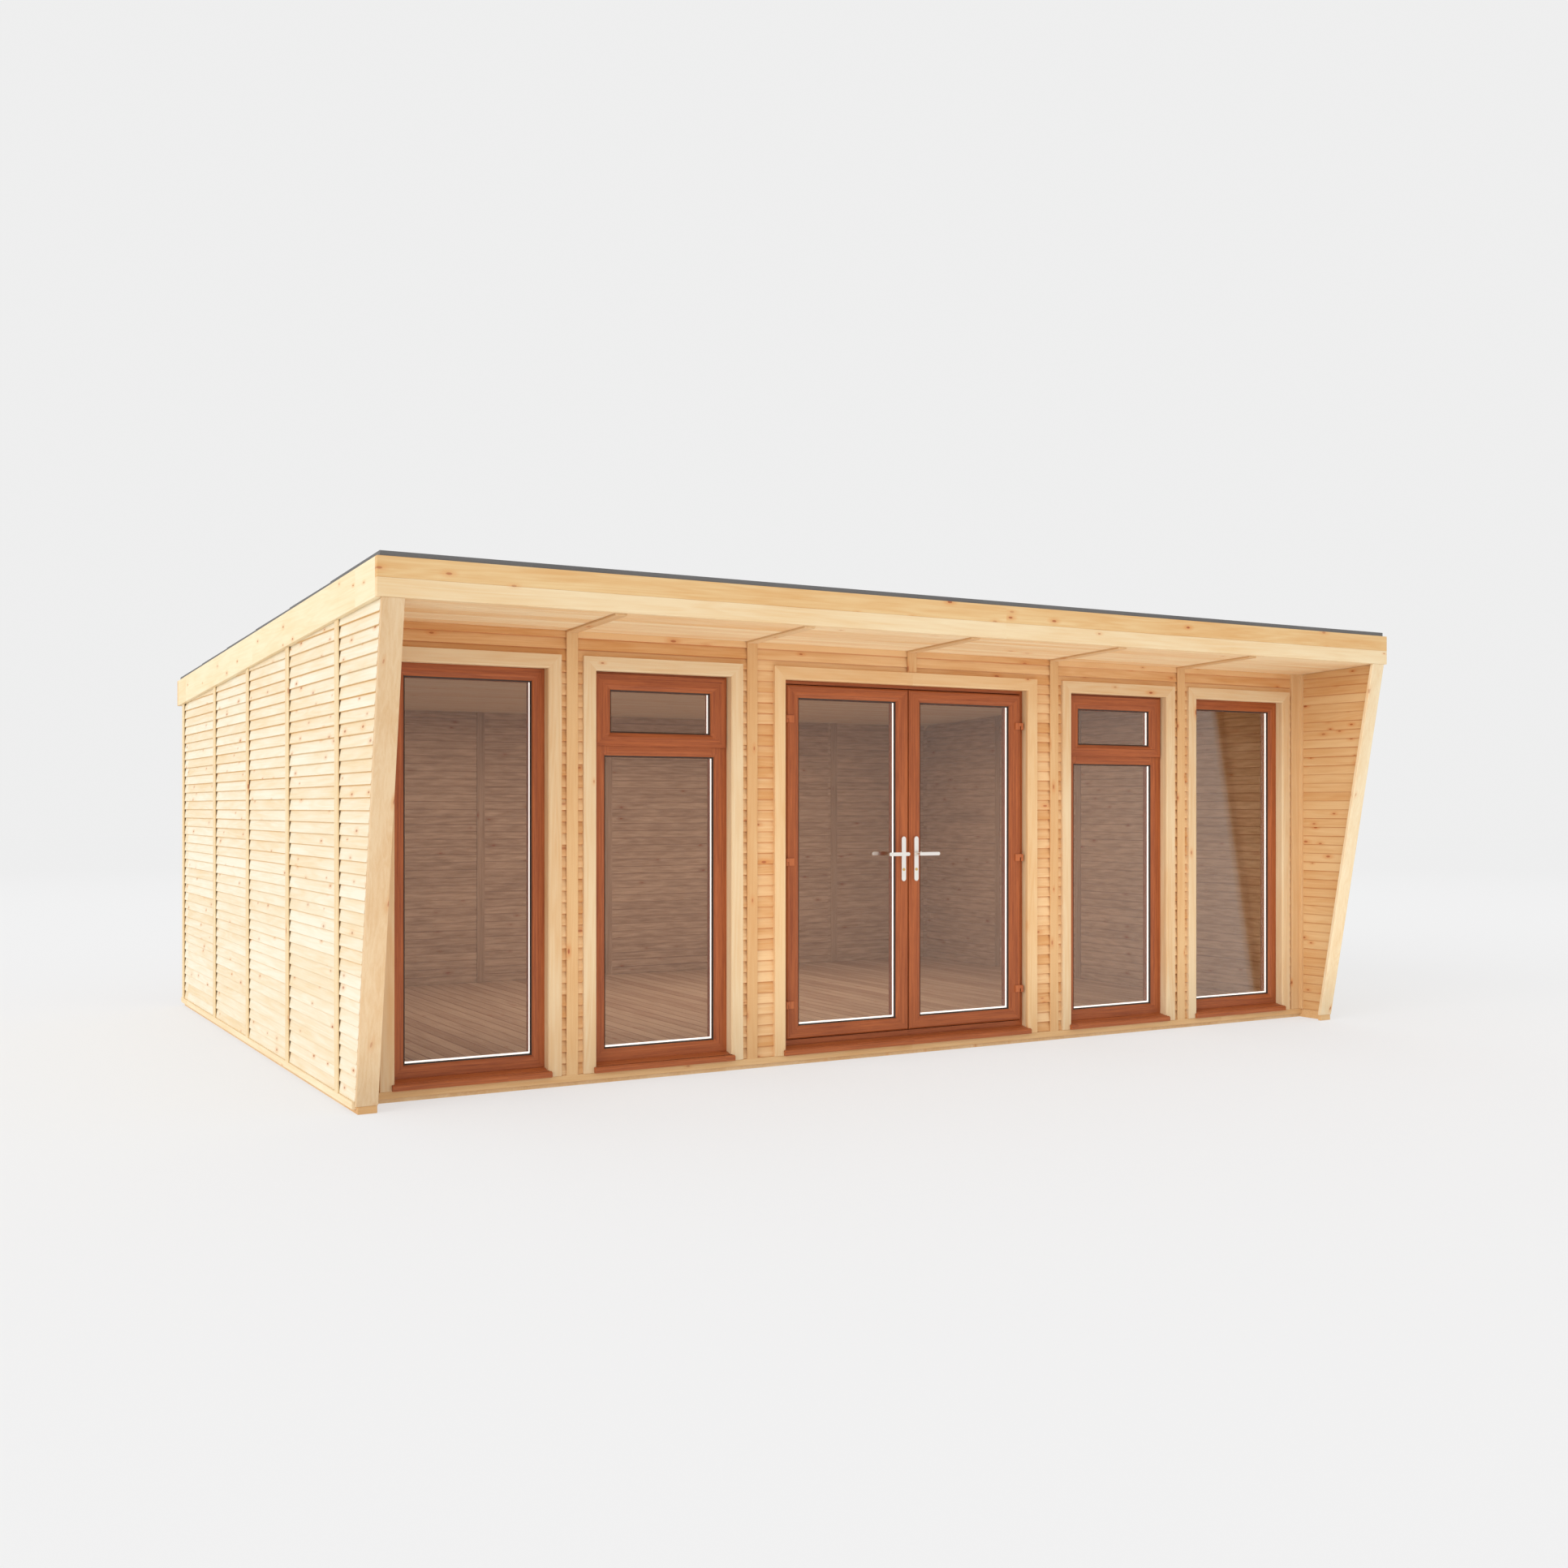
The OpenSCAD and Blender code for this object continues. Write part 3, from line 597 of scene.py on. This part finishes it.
def oak_foil(name, lay, light=(0.455, 0.126, 0.036), deep=(0.193, 0.041, 0.013)):
    """Golden oak foil on plastic frames: long dark pores and soft streaks along each member, and a sheen."""
    made, shader, place = blank(name)
    along, across, into, member = lay(*place.parts())
    shift = member.chance() * 23.0
    streak = (along * 2.6 + shift).joined(across * 110.0 + shift, into * 110.0).noise(1.0, 4.0, 0.65, 0.2)
    flame = (along * 1.1 + shift).joined(across * 24.0 + shift, into * 24.0).noise(1.0, 2.0, 0.5, 0.3)
    pore = (along * 16.0 + shift).joined(across * 520.0, into * 520.0).noise(1.0, 2.0, 0.6)
    dark = (streak - 0.5) * 1.7 + (flame - 0.5) * 0.4 + (pore - 0.5) * 0.8 + 0.47
    tint = dark.held().blend(colour(*light), colour(*deep))
    dress(place, shader, tint, 0.34 + pore * 0.16, pore + streak * 0.5, 0.0004)
    shader.inputs["Specular IOR Level"].default_value = 0.28
    return made


def clear_glass():
    """Clear glass: light passes straight through, and more of it is mirrored the flatter it falls. The share
    is 0.02 + 0.98 * facing cubed, where facing is 1 less the cosine of the angle, on both sides of a pane."""
    made, shader, place = blank("clear_glass")
    shader.inputs["Base Color"].default_value = colour(1.0, 0.91, 0.83)
    shader.inputs["Metallic"].default_value = 1.0
    shader.inputs["Roughness"].default_value = 0.015
    through = place.node("BsdfTransparent", {}, {"Color": colour(0.985, 0.98, 0.975)})
    facing = place.node("LayerWeight", {}, {"Blend": 0.5}, 1)
    mirrored = facing * facing * facing * 0.98 + 0.02
    mixed = place.node("MixShader", {}, {0: mirrored, 1: through, 2: Wire(place.tree, shader.outputs[0])})
    place.tree.links.new(mixed.socket, place.tree.nodes["Material Output"].inputs["Surface"])
    return made


def satin_metal(lock_x, lock_z, lock_r=0.0085):
    """Satin silver: fine brush marks along the fitting change its roughness. The plates' locks are brass."""
    made, shader, place = blank("satin_metal")
    x, y, z = place.parts()
    brush = (x * 60.0).joined(y * 60.0, z * 900.0).noise(1.0, 2.0, 0.6)
    tint = brush.blend(colour(0.98, 0.94, 0.88), colour(0.92, 0.87, 0.81))
    across = abs(x) - lock_x
    up = z - lock_z
    lock = across * across + up * up < lock_r ** 2
    tint = lock.blend(tint, colour(0.74, 0.50, 0.20))
    dress(place, shader, tint, 0.24 + brush * 0.16, brush, 0.00008)
    shader.inputs["Metallic"].default_value = 1.0
    return made


def roof_felt():
    """Grey roofing felt with mineral grains and faint weather marks."""
    made, shader, place = blank("roof_felt")
    grain = place.noise(700.0, 2.0, 0.7)
    patch = place.noise(1.3, 4.0, 0.6)
    pale = (grain * 0.75 + (patch - 0.5) * 0.5).held()
    tint = pale.blend(colour(0.10, 0.10, 0.102), colour(0.24, 0.24, 0.24))
    dress(place, shader, tint, 0.82 + patch * 0.1, grain, 0.0012)
    return made


def plain(name, tint, rough, speckle=0.04, glow=0.0):
    """A plain finish with a fine speckle in its colour and roughness, which may glow of itself as painted
    light.
    """
    made, shader, place = blank(name)
    speck = place.noise(220.0, 2.0, 0.5)
    low = colour(*tint, [1 - speckle] * 3)
    dress(place, shader, speck.blend(low, colour(*tint)), rough + speck * 0.08, speck, 0.0001)
    shader.inputs["Emission Color"].default_value = colour(*tint)
    shader.inputs["Emission Strength"].default_value = glow
    return made


# Lapped boards outside. The tint next multiplies the timbers on the right side: painted shade, darker and
# warmer where that side gets cooler light.
painted_right_shade = (0.98, 0.86, 0.70)
# The side boards are tinted paler than the front's: a painted highlight of the strong light from the left.
# The deeper honey of the front and wing boards is painted shade under the canopy.
lap_front = timber("lapped_front", along_front(), (0.80, 0.525, 0.27), (0.64, 0.32, 0.115), vary=0.8,
                   knotty=0.5, joint=wall_joint, dusk=0.55, shade=(0.8, 0.56, 0.40))
lap_back = timber("lapped_back", along_front(back_bay), (0.79, 0.58, 0.34), (0.66, 0.38, 0.16),
                  joint=wall_joint, dusk=0.6)
lap_side = timber("lapped_side", along_side, (0.82, 0.755, 0.60), (0.765, 0.595, 0.36), knotty=0.5,
                  joint=wall_joint, dusk=0.75, shade=(0.98, 0.78, 0.5), right=painted_right_shade)
lap_wing = timber("lapped_wing", along_side, (0.72, 0.48, 0.24), (0.61, 0.32, 0.12), knotty=0.85,
                  joint=wall_joint, dusk=0.6, shade=(0.8, 0.55, 0.38))
wing_points = corners("right_wing")
foot_y = wing_points[wing_points[:, 2] < base_z + 0.001][:, 1].min()
_, peak_y, peak_z = wing_points[wing_points[:, 1].argmin()]
peak_z -= sunk


def wing_front(z):
    """Where the boards of a wing start, behind its sloping post."""
    return np.interp(z, [base_z, peak_z + sunk], [foot_y, peak_y])


outer_profile = lapped(base_z, peak_z)
side_boards = [boarding(outer_profile, wing_front, under_slope(back_y), on_side(side, wall_x, 1))
               for side in (-1, 1)]
timber_piece("side_boards", side_boards, lap_side)
inner_profile = lapped(base_z, peak_z, wing_lip)
wing_boards = [boarding(inner_profile, wing_front, under_slope(corner_y), on_side(side, wing_x, -1))
               for side in (-1, 1)]
timber_piece("wing_boards", wing_boards, lap_wing)
back_profile = lapped(base_z, roof(back_y + lip, under_roof))
back_boards = boarding(back_profile, level(-wall_x - lip), level(wall_x + lip), on_front(back_y, 1))
timber_piece("back_boards", [back_boards], lap_back)
casings = sorted(solids("window_casings") + solids("door_casing"), key=lambda box: box[0][0])
casing_top = casings[0][1][2]
front_boards = boards_round(casings, wing_x - corner_w, casing_top, roof(wall_y, under_roof), lapped,
                            on_front(wall_y, -1))
timber_piece("front_boards", front_boards, lap_front)

# Cover strips, which bridge the hollows of the boards behind them
strip_wood = timber("strip_timber", standing(0.4, 0.4), (0.70, 0.445, 0.215), (0.62, 0.33, 0.13), vary=0.35,
                    knotty=0.6)
# The side strips are tinted paler than the front strips: a painted highlight of the light from the left.
side_strip_wood = timber("side_strip_timber", standing(9.0, 0.4), (0.80, 0.65, 0.41), (0.74, 0.52, 0.27),
                         vary=0.35, knotty=0.35, right=painted_right_shade)
boards_out = lip - sunk
bars = [upright(low[0], high[0], low[1], wall_y - boards_out, low[2])
        for low, high in solids("front_strips")]
timber_piece("front_strips_eased", bars, strip_wood, ["front_strips"])
bars = []
for low, high in solids("side_strips"):
    near = wall_x + boards_out
    x1, x2 = (low[0], -near) if low[0] < 0 else (near, high[0])
    bars.append(upright(x1, x2, low[1], high[1], low[2]))
timber_piece("side_strips_eased", bars, side_strip_wood, ["side_strips"])
bars = [upright(low[0], high[0], back_y + boards_out, high[1], low[2])
        for low, high in solids("back_strips")]
timber_piece("back_strips_eased", bars, strip_wood, ["back_strips"])

# Matched boards under the roof, on the floor and on the inner walls
inner_fine = (7.0, 52.0)
soffit_wood = timber("soffit_boards_timber", under_canopy, (0.84, 0.655, 0.41), (0.76, 0.475, 0.225),
                     vary=0.8, knotty=0.06, joint=soffit_joint)
ceiling_wood = timber("ceiling_boards_timber", under_canopy, (0.90, 0.82, 0.66), (0.78, 0.61, 0.42),
                      knotty=0.06, joint=soffit_joint, dusk=0.7, grain=1.4, fine=inner_fine)
floor_wood = timber("floor_boards_timber", deep_ways(floor_pitch), (0.60, 0.40, 0.25), (0.40, 0.22, 0.12),
                    vary=0.6, knotty=0.2, joint=floor_joint, dusk=0.8, grain=1.2)
lining_front, lining_side = [
    timber(name, lay, (0.64, 0.43, 0.275), (0.36, 0.205, 0.11), vary=0.25, joint=wall_joint, dusk=0.4,
           patchy=0.7, grain=1.7, fine=inner_fine)
    for name, lay in (("lining_front_timber", along_front()), ("lining_side_timber", along_side))]
timber_piece("soffit_boards", [roof_boards(edge_y, wall_y, wall_x), roof_boards(back_y, end_y, wall_x)],
             soffit_wood, ["soffit"])
timber_piece("ceiling_boards", [roof_boards(room_y, room_back_y, room_x)], ceiling_wood, ["ceiling"])
floor_boards = boarding(matched(-wall_x, wall_x, floor_pitch, base_z), level(wall_y), level(back_y),
                        lambda y, x, z: (x, y, z), back=floor_low)
timber_piece("floor_boards", [floor_boards], floor_wood, ["floor_deck"])
side_profile = lining_boards(base_z, roof(room_y, under_roof) - 0.001)
side_lining = [boarding(side_profile, level(room_y), under_slope(room_back_y), on_side(side, room_x, -1))
               for side in (-1, 1)]
timber_piece("side_lining", side_lining, lining_side)
openings = sorted(solids("left_window_frames") + solids("door_frame") + solids("right_window_frames"),
                  key=lambda box: box[0][0])
front_lining = boards_round(openings, room_x, head_z, roof(room_y + lining_face, under_roof), lining_boards,
                            on_front(room_y, 1))
back_lining = boarding(lining_boards(base_z, roof(room_back_y, under_roof)), level(-room_x), level(room_x),
                       on_front(room_back_y, -1))
timber_piece("front_and_back_lining", front_lining + [back_lining], lining_front)

# Roof covering: sheets of felt that lap each other down the slope
cover_low, cover_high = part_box("roof_covering")
lay_y = np.linspace(cover_low.y, cover_high.y, felt_sheets + 1)
rise = np.tile([felt_t, felt_t + felt_lap], felt_sheets)
rise[0] = felt_t + felt_lap
sheet_y = np.stack([lay_y[:-1], lay_y[1:] - 0.0005], -1).ravel()
felt_section = np.stack([np.concatenate([sheet_y, sheet_y[::-1]]),
                         np.concatenate([rise, np.full(len(rise), 0.0002)])], -1)
felt = prism(felt_section, cover_low.x, cover_high.x, lambda x, y, up: (x, y, roof(y, -up)))
piece("felt_sheets", [felt], "building", roof_felt(), ["roof_covering"])

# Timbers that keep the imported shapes, with eased edges
upper_wood = timber("upper_fascia_timber", lying(3.5, 0.18), (0.77, 0.55, 0.28), (0.66, 0.36, 0.13),
                    knotty=0.45)
lower_wood = timber("lower_fascia_timber", lying(3.5, 0.18), (0.82, 0.66, 0.42), (0.75, 0.51, 0.26),
                    vary=0.3, knotty=0.15)
# The side fascias are tinted paler than the front ones: a painted highlight of the light from the left.
side_fascia_wood = timber("side_fascia_timber", edging, (0.865, 0.725, 0.485), (0.80, 0.59, 0.32), vary=0.4,
                          knotty=0.4, right=painted_right_shade)
left_post_wood = timber("left_post_timber", standing(1.0, 9.0), (0.71, 0.52, 0.315), (0.61, 0.375, 0.18),
                        vary=0.2, knotty=0.5)
# The right post is tinted paler than the left one: painted light, as the right post is lit more brightly.
right_post_wood = timber("right_post_timber", standing(1.0, 9.0), (0.82, 0.68, 0.46), (0.74, 0.52, 0.28),
                         vary=0.2, knotty=0.4)
base_wood = timber("base_timber", lying(2.4), (0.72, 0.47, 0.23), (0.60, 0.33, 0.13), vary=0.3)
# The side base is tinted paler than the front base: a painted highlight of the light from the left.
side_base_wood = timber("side_base_timber", edging, (0.86, 0.72, 0.49), (0.79, 0.57, 0.31), vary=0.3,
                        right=painted_right_shade)
inner_casing, outer_casing = [box for box in casings if box[0][0] > 0.9]
casing_middles = [(low[0] + high[0]) / 2 for low, high in (inner_casing, outer_casing)]
casing_half = (inner_casing[1][0] - inner_casing[0][0]) / 2
casing_wood = timber("casing_timber", mitred(casing_middles, casing_half, -1.0, casing_top),
                     (0.735, 0.56, 0.345), (0.655, 0.40, 0.19), knotty=0.25)
door_casing_wood = timber("door_casing_timber", mitred([0.0], casings[2][1][0], -1.0, casing_top),
                          (0.755, 0.52, 0.28), (0.675, 0.385, 0.16), vary=0.4, knotty=0.2)
lining_strip_wood = timber("lining_strip_timber", standing(0.4, 0.4), (0.52, 0.34, 0.21), (0.34, 0.19, 0.10),
                           vary=0.3, knotty=0.1, grain=1.5)
trim_wood = timber("trim_timber", standing(0.02, 9.0), (0.72, 0.49, 0.26), (0.64, 0.37, 0.16), vary=0.3)
rough_wood = timber("rough_timber", deep_ways(0.5), (0.72, 0.50, 0.28), (0.62, 0.37, 0.17))
for node, material, ease in (
        ("front_fascia_upper", upper_wood, 0.002), ("front_fascia_lower", lower_wood, 0.002),
        ("back_fascia", upper_wood, 0.002), ("left_fascia", side_fascia_wood, 0.002),
        ("right_fascia", side_fascia_wood, 0.002), ("left_wing_post", left_post_wood, 0.0025),
        ("right_wing_post", right_post_wood, 0.0025), ("wing_soles", base_wood, 0.002),
        ("window_casings", casing_wood, 0.0015), ("door_casing", door_casing_wood, 0.0015),
        ("corner_trims", trim_wood, 0.0015), ("inner_strips", lining_strip_wood, 0.0015),
        ("soffit_strips", rough_wood, 0.0015)):
    softened(node, material, ease)
for node, material in (
        ("base_bearers", rough_wood), ("rafters", rough_wood), ("roof_deck", rough_wood),
        ("left_wall", lap_side), ("right_wall", lap_side), ("back_wall", lap_back),
        ("left_wing", lap_wing), ("right_wing", lap_wing), ("front_wall_header", lap_front),
        ("front_wall_left", casing_wood), ("front_wall_right", casing_wood)):
    nodes[node].data.materials.clear()
    nodes[node].data.materials.append(material)

# Base trim: eased bars along the front and back, and ones along the sides tinted paler, a painted highlight
# of the light from the left. The back bar touches the side bars, so the three read as one solid.
front_bar, back_bars = sorted(solids("base_trim"), key=lambda box: box[1][1])
_, side_y, trim_low = back_bars[0]
trim_x, trim_y, trim_high = back_bars[1]
front_x = front_bar[1][0]
bars = [prism(eased(y1, y2, trim_low, trim_high, 0.002), -x, x, lambda x, y, z: (x, y, z))
        for y1, y2, x in ((front_bar[0][1], front_bar[1][1], front_x), (back_y, trim_y, wall_x))]
timber_piece("base_trim_eased", bars, base_wood, ["base_trim"])
bars = [prism(eased(x1, x2, trim_low, trim_high, 0.002), side_y, trim_y, lambda y, x, z: (x, y, z))
        for x1, x2 in ((-trim_x, -wall_x), (wall_x, trim_x))]
timber_piece("side_base_trim_eased", bars, side_base_wood)

# Frames and doors in oak foil
frame_low, frame_high = openings[0][0][2], openings[0][1][2]
window_half = (openings[-1][1][0] - openings[-1][0][0]) / 2
window_middles = [(low[0] + high[0]) / 2 for low, high in openings[3:]]
oak_window = oak_foil("oak_window", mitred(window_middles, window_half, frame_low, frame_high, 0.09))
sash_low, sash_high = solids("fanlight_sashes")[1]
sash_half = (sash_high[0] - sash_low[0]) / 2
oak_sash = oak_foil("oak_sash", mitred(window_middles[:1], sash_half, sash_low[2], sash_high[2]))
oak_door = oak_foil("oak_door", mitred([0.0], openings[2][1][0], frame_low, frame_high))
leaf_low, leaf_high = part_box("right_leaf")
oak_leaf = oak_foil("oak_leaf", mitred([(leaf_low.x + leaf_high.x) / 2], (leaf_high.x - leaf_low.x) / 2,
                                       leaf_low.z, leaf_high.z))
oak_sill = oak_foil("oak_sill", lambda x, y, z: (x, y + z, y - z, (x / 1.2).floor()),
                    (0.50, 0.145, 0.042), (0.22, 0.05, 0.016))
oak_hinge = oak_foil("oak_hinge_foil", lambda x, y, z: (z, x + y, x - y, (z / 0.5).floor()),
                     (0.56, 0.17, 0.053), (0.29, 0.068, 0.024))
for node, material, ease in (
        ("left_window_frames", oak_window, 0.0015), ("right_window_frames", oak_window, 0.0015),
        ("fanlight_sashes", oak_sash, 0.0015), ("door_frame", oak_door, 0.0015),
        ("left_leaf", oak_leaf, 0.0015), ("right_leaf", oak_leaf, 0.0015),
        ("window_sills", oak_sill, 0.0025), ("door_sill", oak_sill, 0.0025),
        ("frame_hinges", oak_hinge, 0.001), ("left_leaf_hinges", oak_hinge, 0.001),
        ("right_leaf_hinges", oak_hinge, 0.001)):
    softened(node, material, ease)

# Handles, with the lock 186 mm below each plate's top
plate_low, plate_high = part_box("right_plates")
silver = satin_metal((plate_low.x + plate_high.x) / 2, plate_high.z - 0.186)
for node, ease in (
        ("left_plates", 0.0025), ("right_plates", 0.0025), ("left_lever", 0.003), ("right_lever", 0.003)):
    softened(node, silver, ease, 3)

# Sealed glass units: two panes with a white spacer between them
glass = clear_glass()
# The spacer glows a little of itself: painted light, though it is no lamp.
spacer_painted_glow = plain("spacer_painted_glow", (0.95, 0.92, 0.88), 0.45, glow=0.8)
# The seal's dark colour is partly real rubber and partly painted shade on the moulding's slope.
rubber = plain("seal_rubber", (0.045, 0.024, 0.016), 0.6, speckle=0.3)
for node, body in (
        ("window_glass", "building"), ("left_leaf_glass", "left_door"), ("right_leaf_glass", "right_door")):
    panes = []
    spacers = []
    seals = []
    for low, high in solids(node):
        front, back = low[1], high[1]
        panes += [slab((low, high), front, front + pane), slab((low, high), back - pane, back)]
        lift = foot_lift if low[2] < fanlight_z else fanlight_lift
        raised = (low + (0, 0, lift), high + (0, 0, head_lift))
        near, far = front + pane + spacer_near, front + pane + spacer_far
        spacers.append(ring(raised, [(spacer_out, spacer_out, near), (spacer_in, spacer_in, near),
                                     (spacer_in, spacer_in, far), (spacer_out, spacer_out, far)]))
        seals.append(ring((low, high), seal_and_shade_loop + (sight, sight, front)))
    piece(node + "_panes", panes, body, glass, [node])
    piece(node + "_spacer", spacers, body, spacer_painted_glow)
    piece(node + "_seal", seals, body, rubber)

# Floor, light and camera


def studio_floor():
    """Plain pale floor that turns as bright as the backdrop far from the building."""
    made, shader, place = blank("pale_floor")
    x, y, z = place.parts()
    far = (x * x + y * y).smooth(60.0, 900.0)
    tint = far.blend(colour(0.563, 0.563, 0.565), colour(0.534, 0.534, 0.534))
    place.tree.links.new(tint.socket, shader.inputs["Emission Color"])
    shader.inputs["Emission Strength"].default_value = 1.0
    shader.inputs["Base Color"].default_value = colour(0.32, 0.32, 0.32)
    shader.inputs["Specular IOR Level"].default_value = 0.0
    shader.inputs["Roughness"].default_value = 0.9
    return made


def round_ground(radius, sides):
    """A flat round floor under the building."""
    angle = np.linspace(0, 2 * np.pi, sides, endpoint=False)
    mesh = bpy.data.meshes.new("ground")
    points = np.stack([radius * np.cos(angle), radius * np.sin(angle), angle * 0], -1)
    mesh.from_pydata(points.tolist(), [], [list(range(sides))])
    mesh.materials.append(studio_floor())
    made = bpy.data.objects.new("ground", mesh)
    bpy.context.scene.collection.objects.link(made)


def soft_sun(name, towards, strength, spread):
    """A soft light from far away that shines towards a direction."""
    lamp = bpy.data.lights.new(name, "SUN")
    lamp.energy = strength
    lamp.angle = math.radians(spread)
    made = bpy.data.objects.new(name, lamp)
    bpy.context.scene.collection.objects.link(made)
    direction = np.array(towards, float)
    x, y, z = direction / np.linalg.norm(direction)
    made.rotation_euler = (math.acos(-z), 0, math.atan2(y, x) - math.pi / 2)
    made.visible_glossy = False


def soft_panel(name, middle, width, depth, watts, tint, upward):
    """A level soft light that shines up or down and isn't seen itself."""
    lamp = bpy.data.lights.new(name, "AREA")
    lamp.shape = "RECTANGLE"
    lamp.size = width
    lamp.size_y = depth
    lamp.energy = watts
    lamp.color = tint
    made = bpy.data.objects.new(name, lamp)
    bpy.context.scene.collection.objects.link(made)
    made.location = middle
    made.rotation_euler = (math.pi if upward else 0, 0, 0)
    made.visible_camera = False
    made.visible_glossy = False


round_ground(70, 96)
world = bpy.data.worlds.new("studio")
world.use_nodes = True
world.node_tree.nodes["Background"].inputs["Color"].default_value = colour(0.86, 0.86, 0.86)
bpy.context.scene.world = world
bpy.context.scene.view_settings.view_transform = "Standard"
soft_sun("left_light", (1.0, 0.25, -0.3), 1.5, 50)
soft_sun("front_light", (0.45, 1.0, -0.15), 0.25, 60)
soft_panel("canopy_light", (0.0, -3.6, 0.08), 7.0, 2.2, 48, (1.0, 0.97, 0.92), True)
soft_panel("room_light", (0.0, 0.25, 2.05), 4.6, 2.6, 44, (1.0, 0.94, 0.91), False)

# The camera stands where the photo's straight edges meet, level and a little shifted up
lens = bpy.data.cameras.new("camera")
lens.lens = 36.07
lens.sensor_width = 36.0
lens.shift_y = 0.0150
lens.clip_end = 300
camera = bpy.data.objects.new("camera", lens)
camera.location = (-5.0715, -9.237, 1.3895)
camera.rotation_euler = (math.pi / 2, 0, math.radians(-30.087))
bpy.context.scene.collection.objects.link(camera)
bpy.context.scene.camera = camera
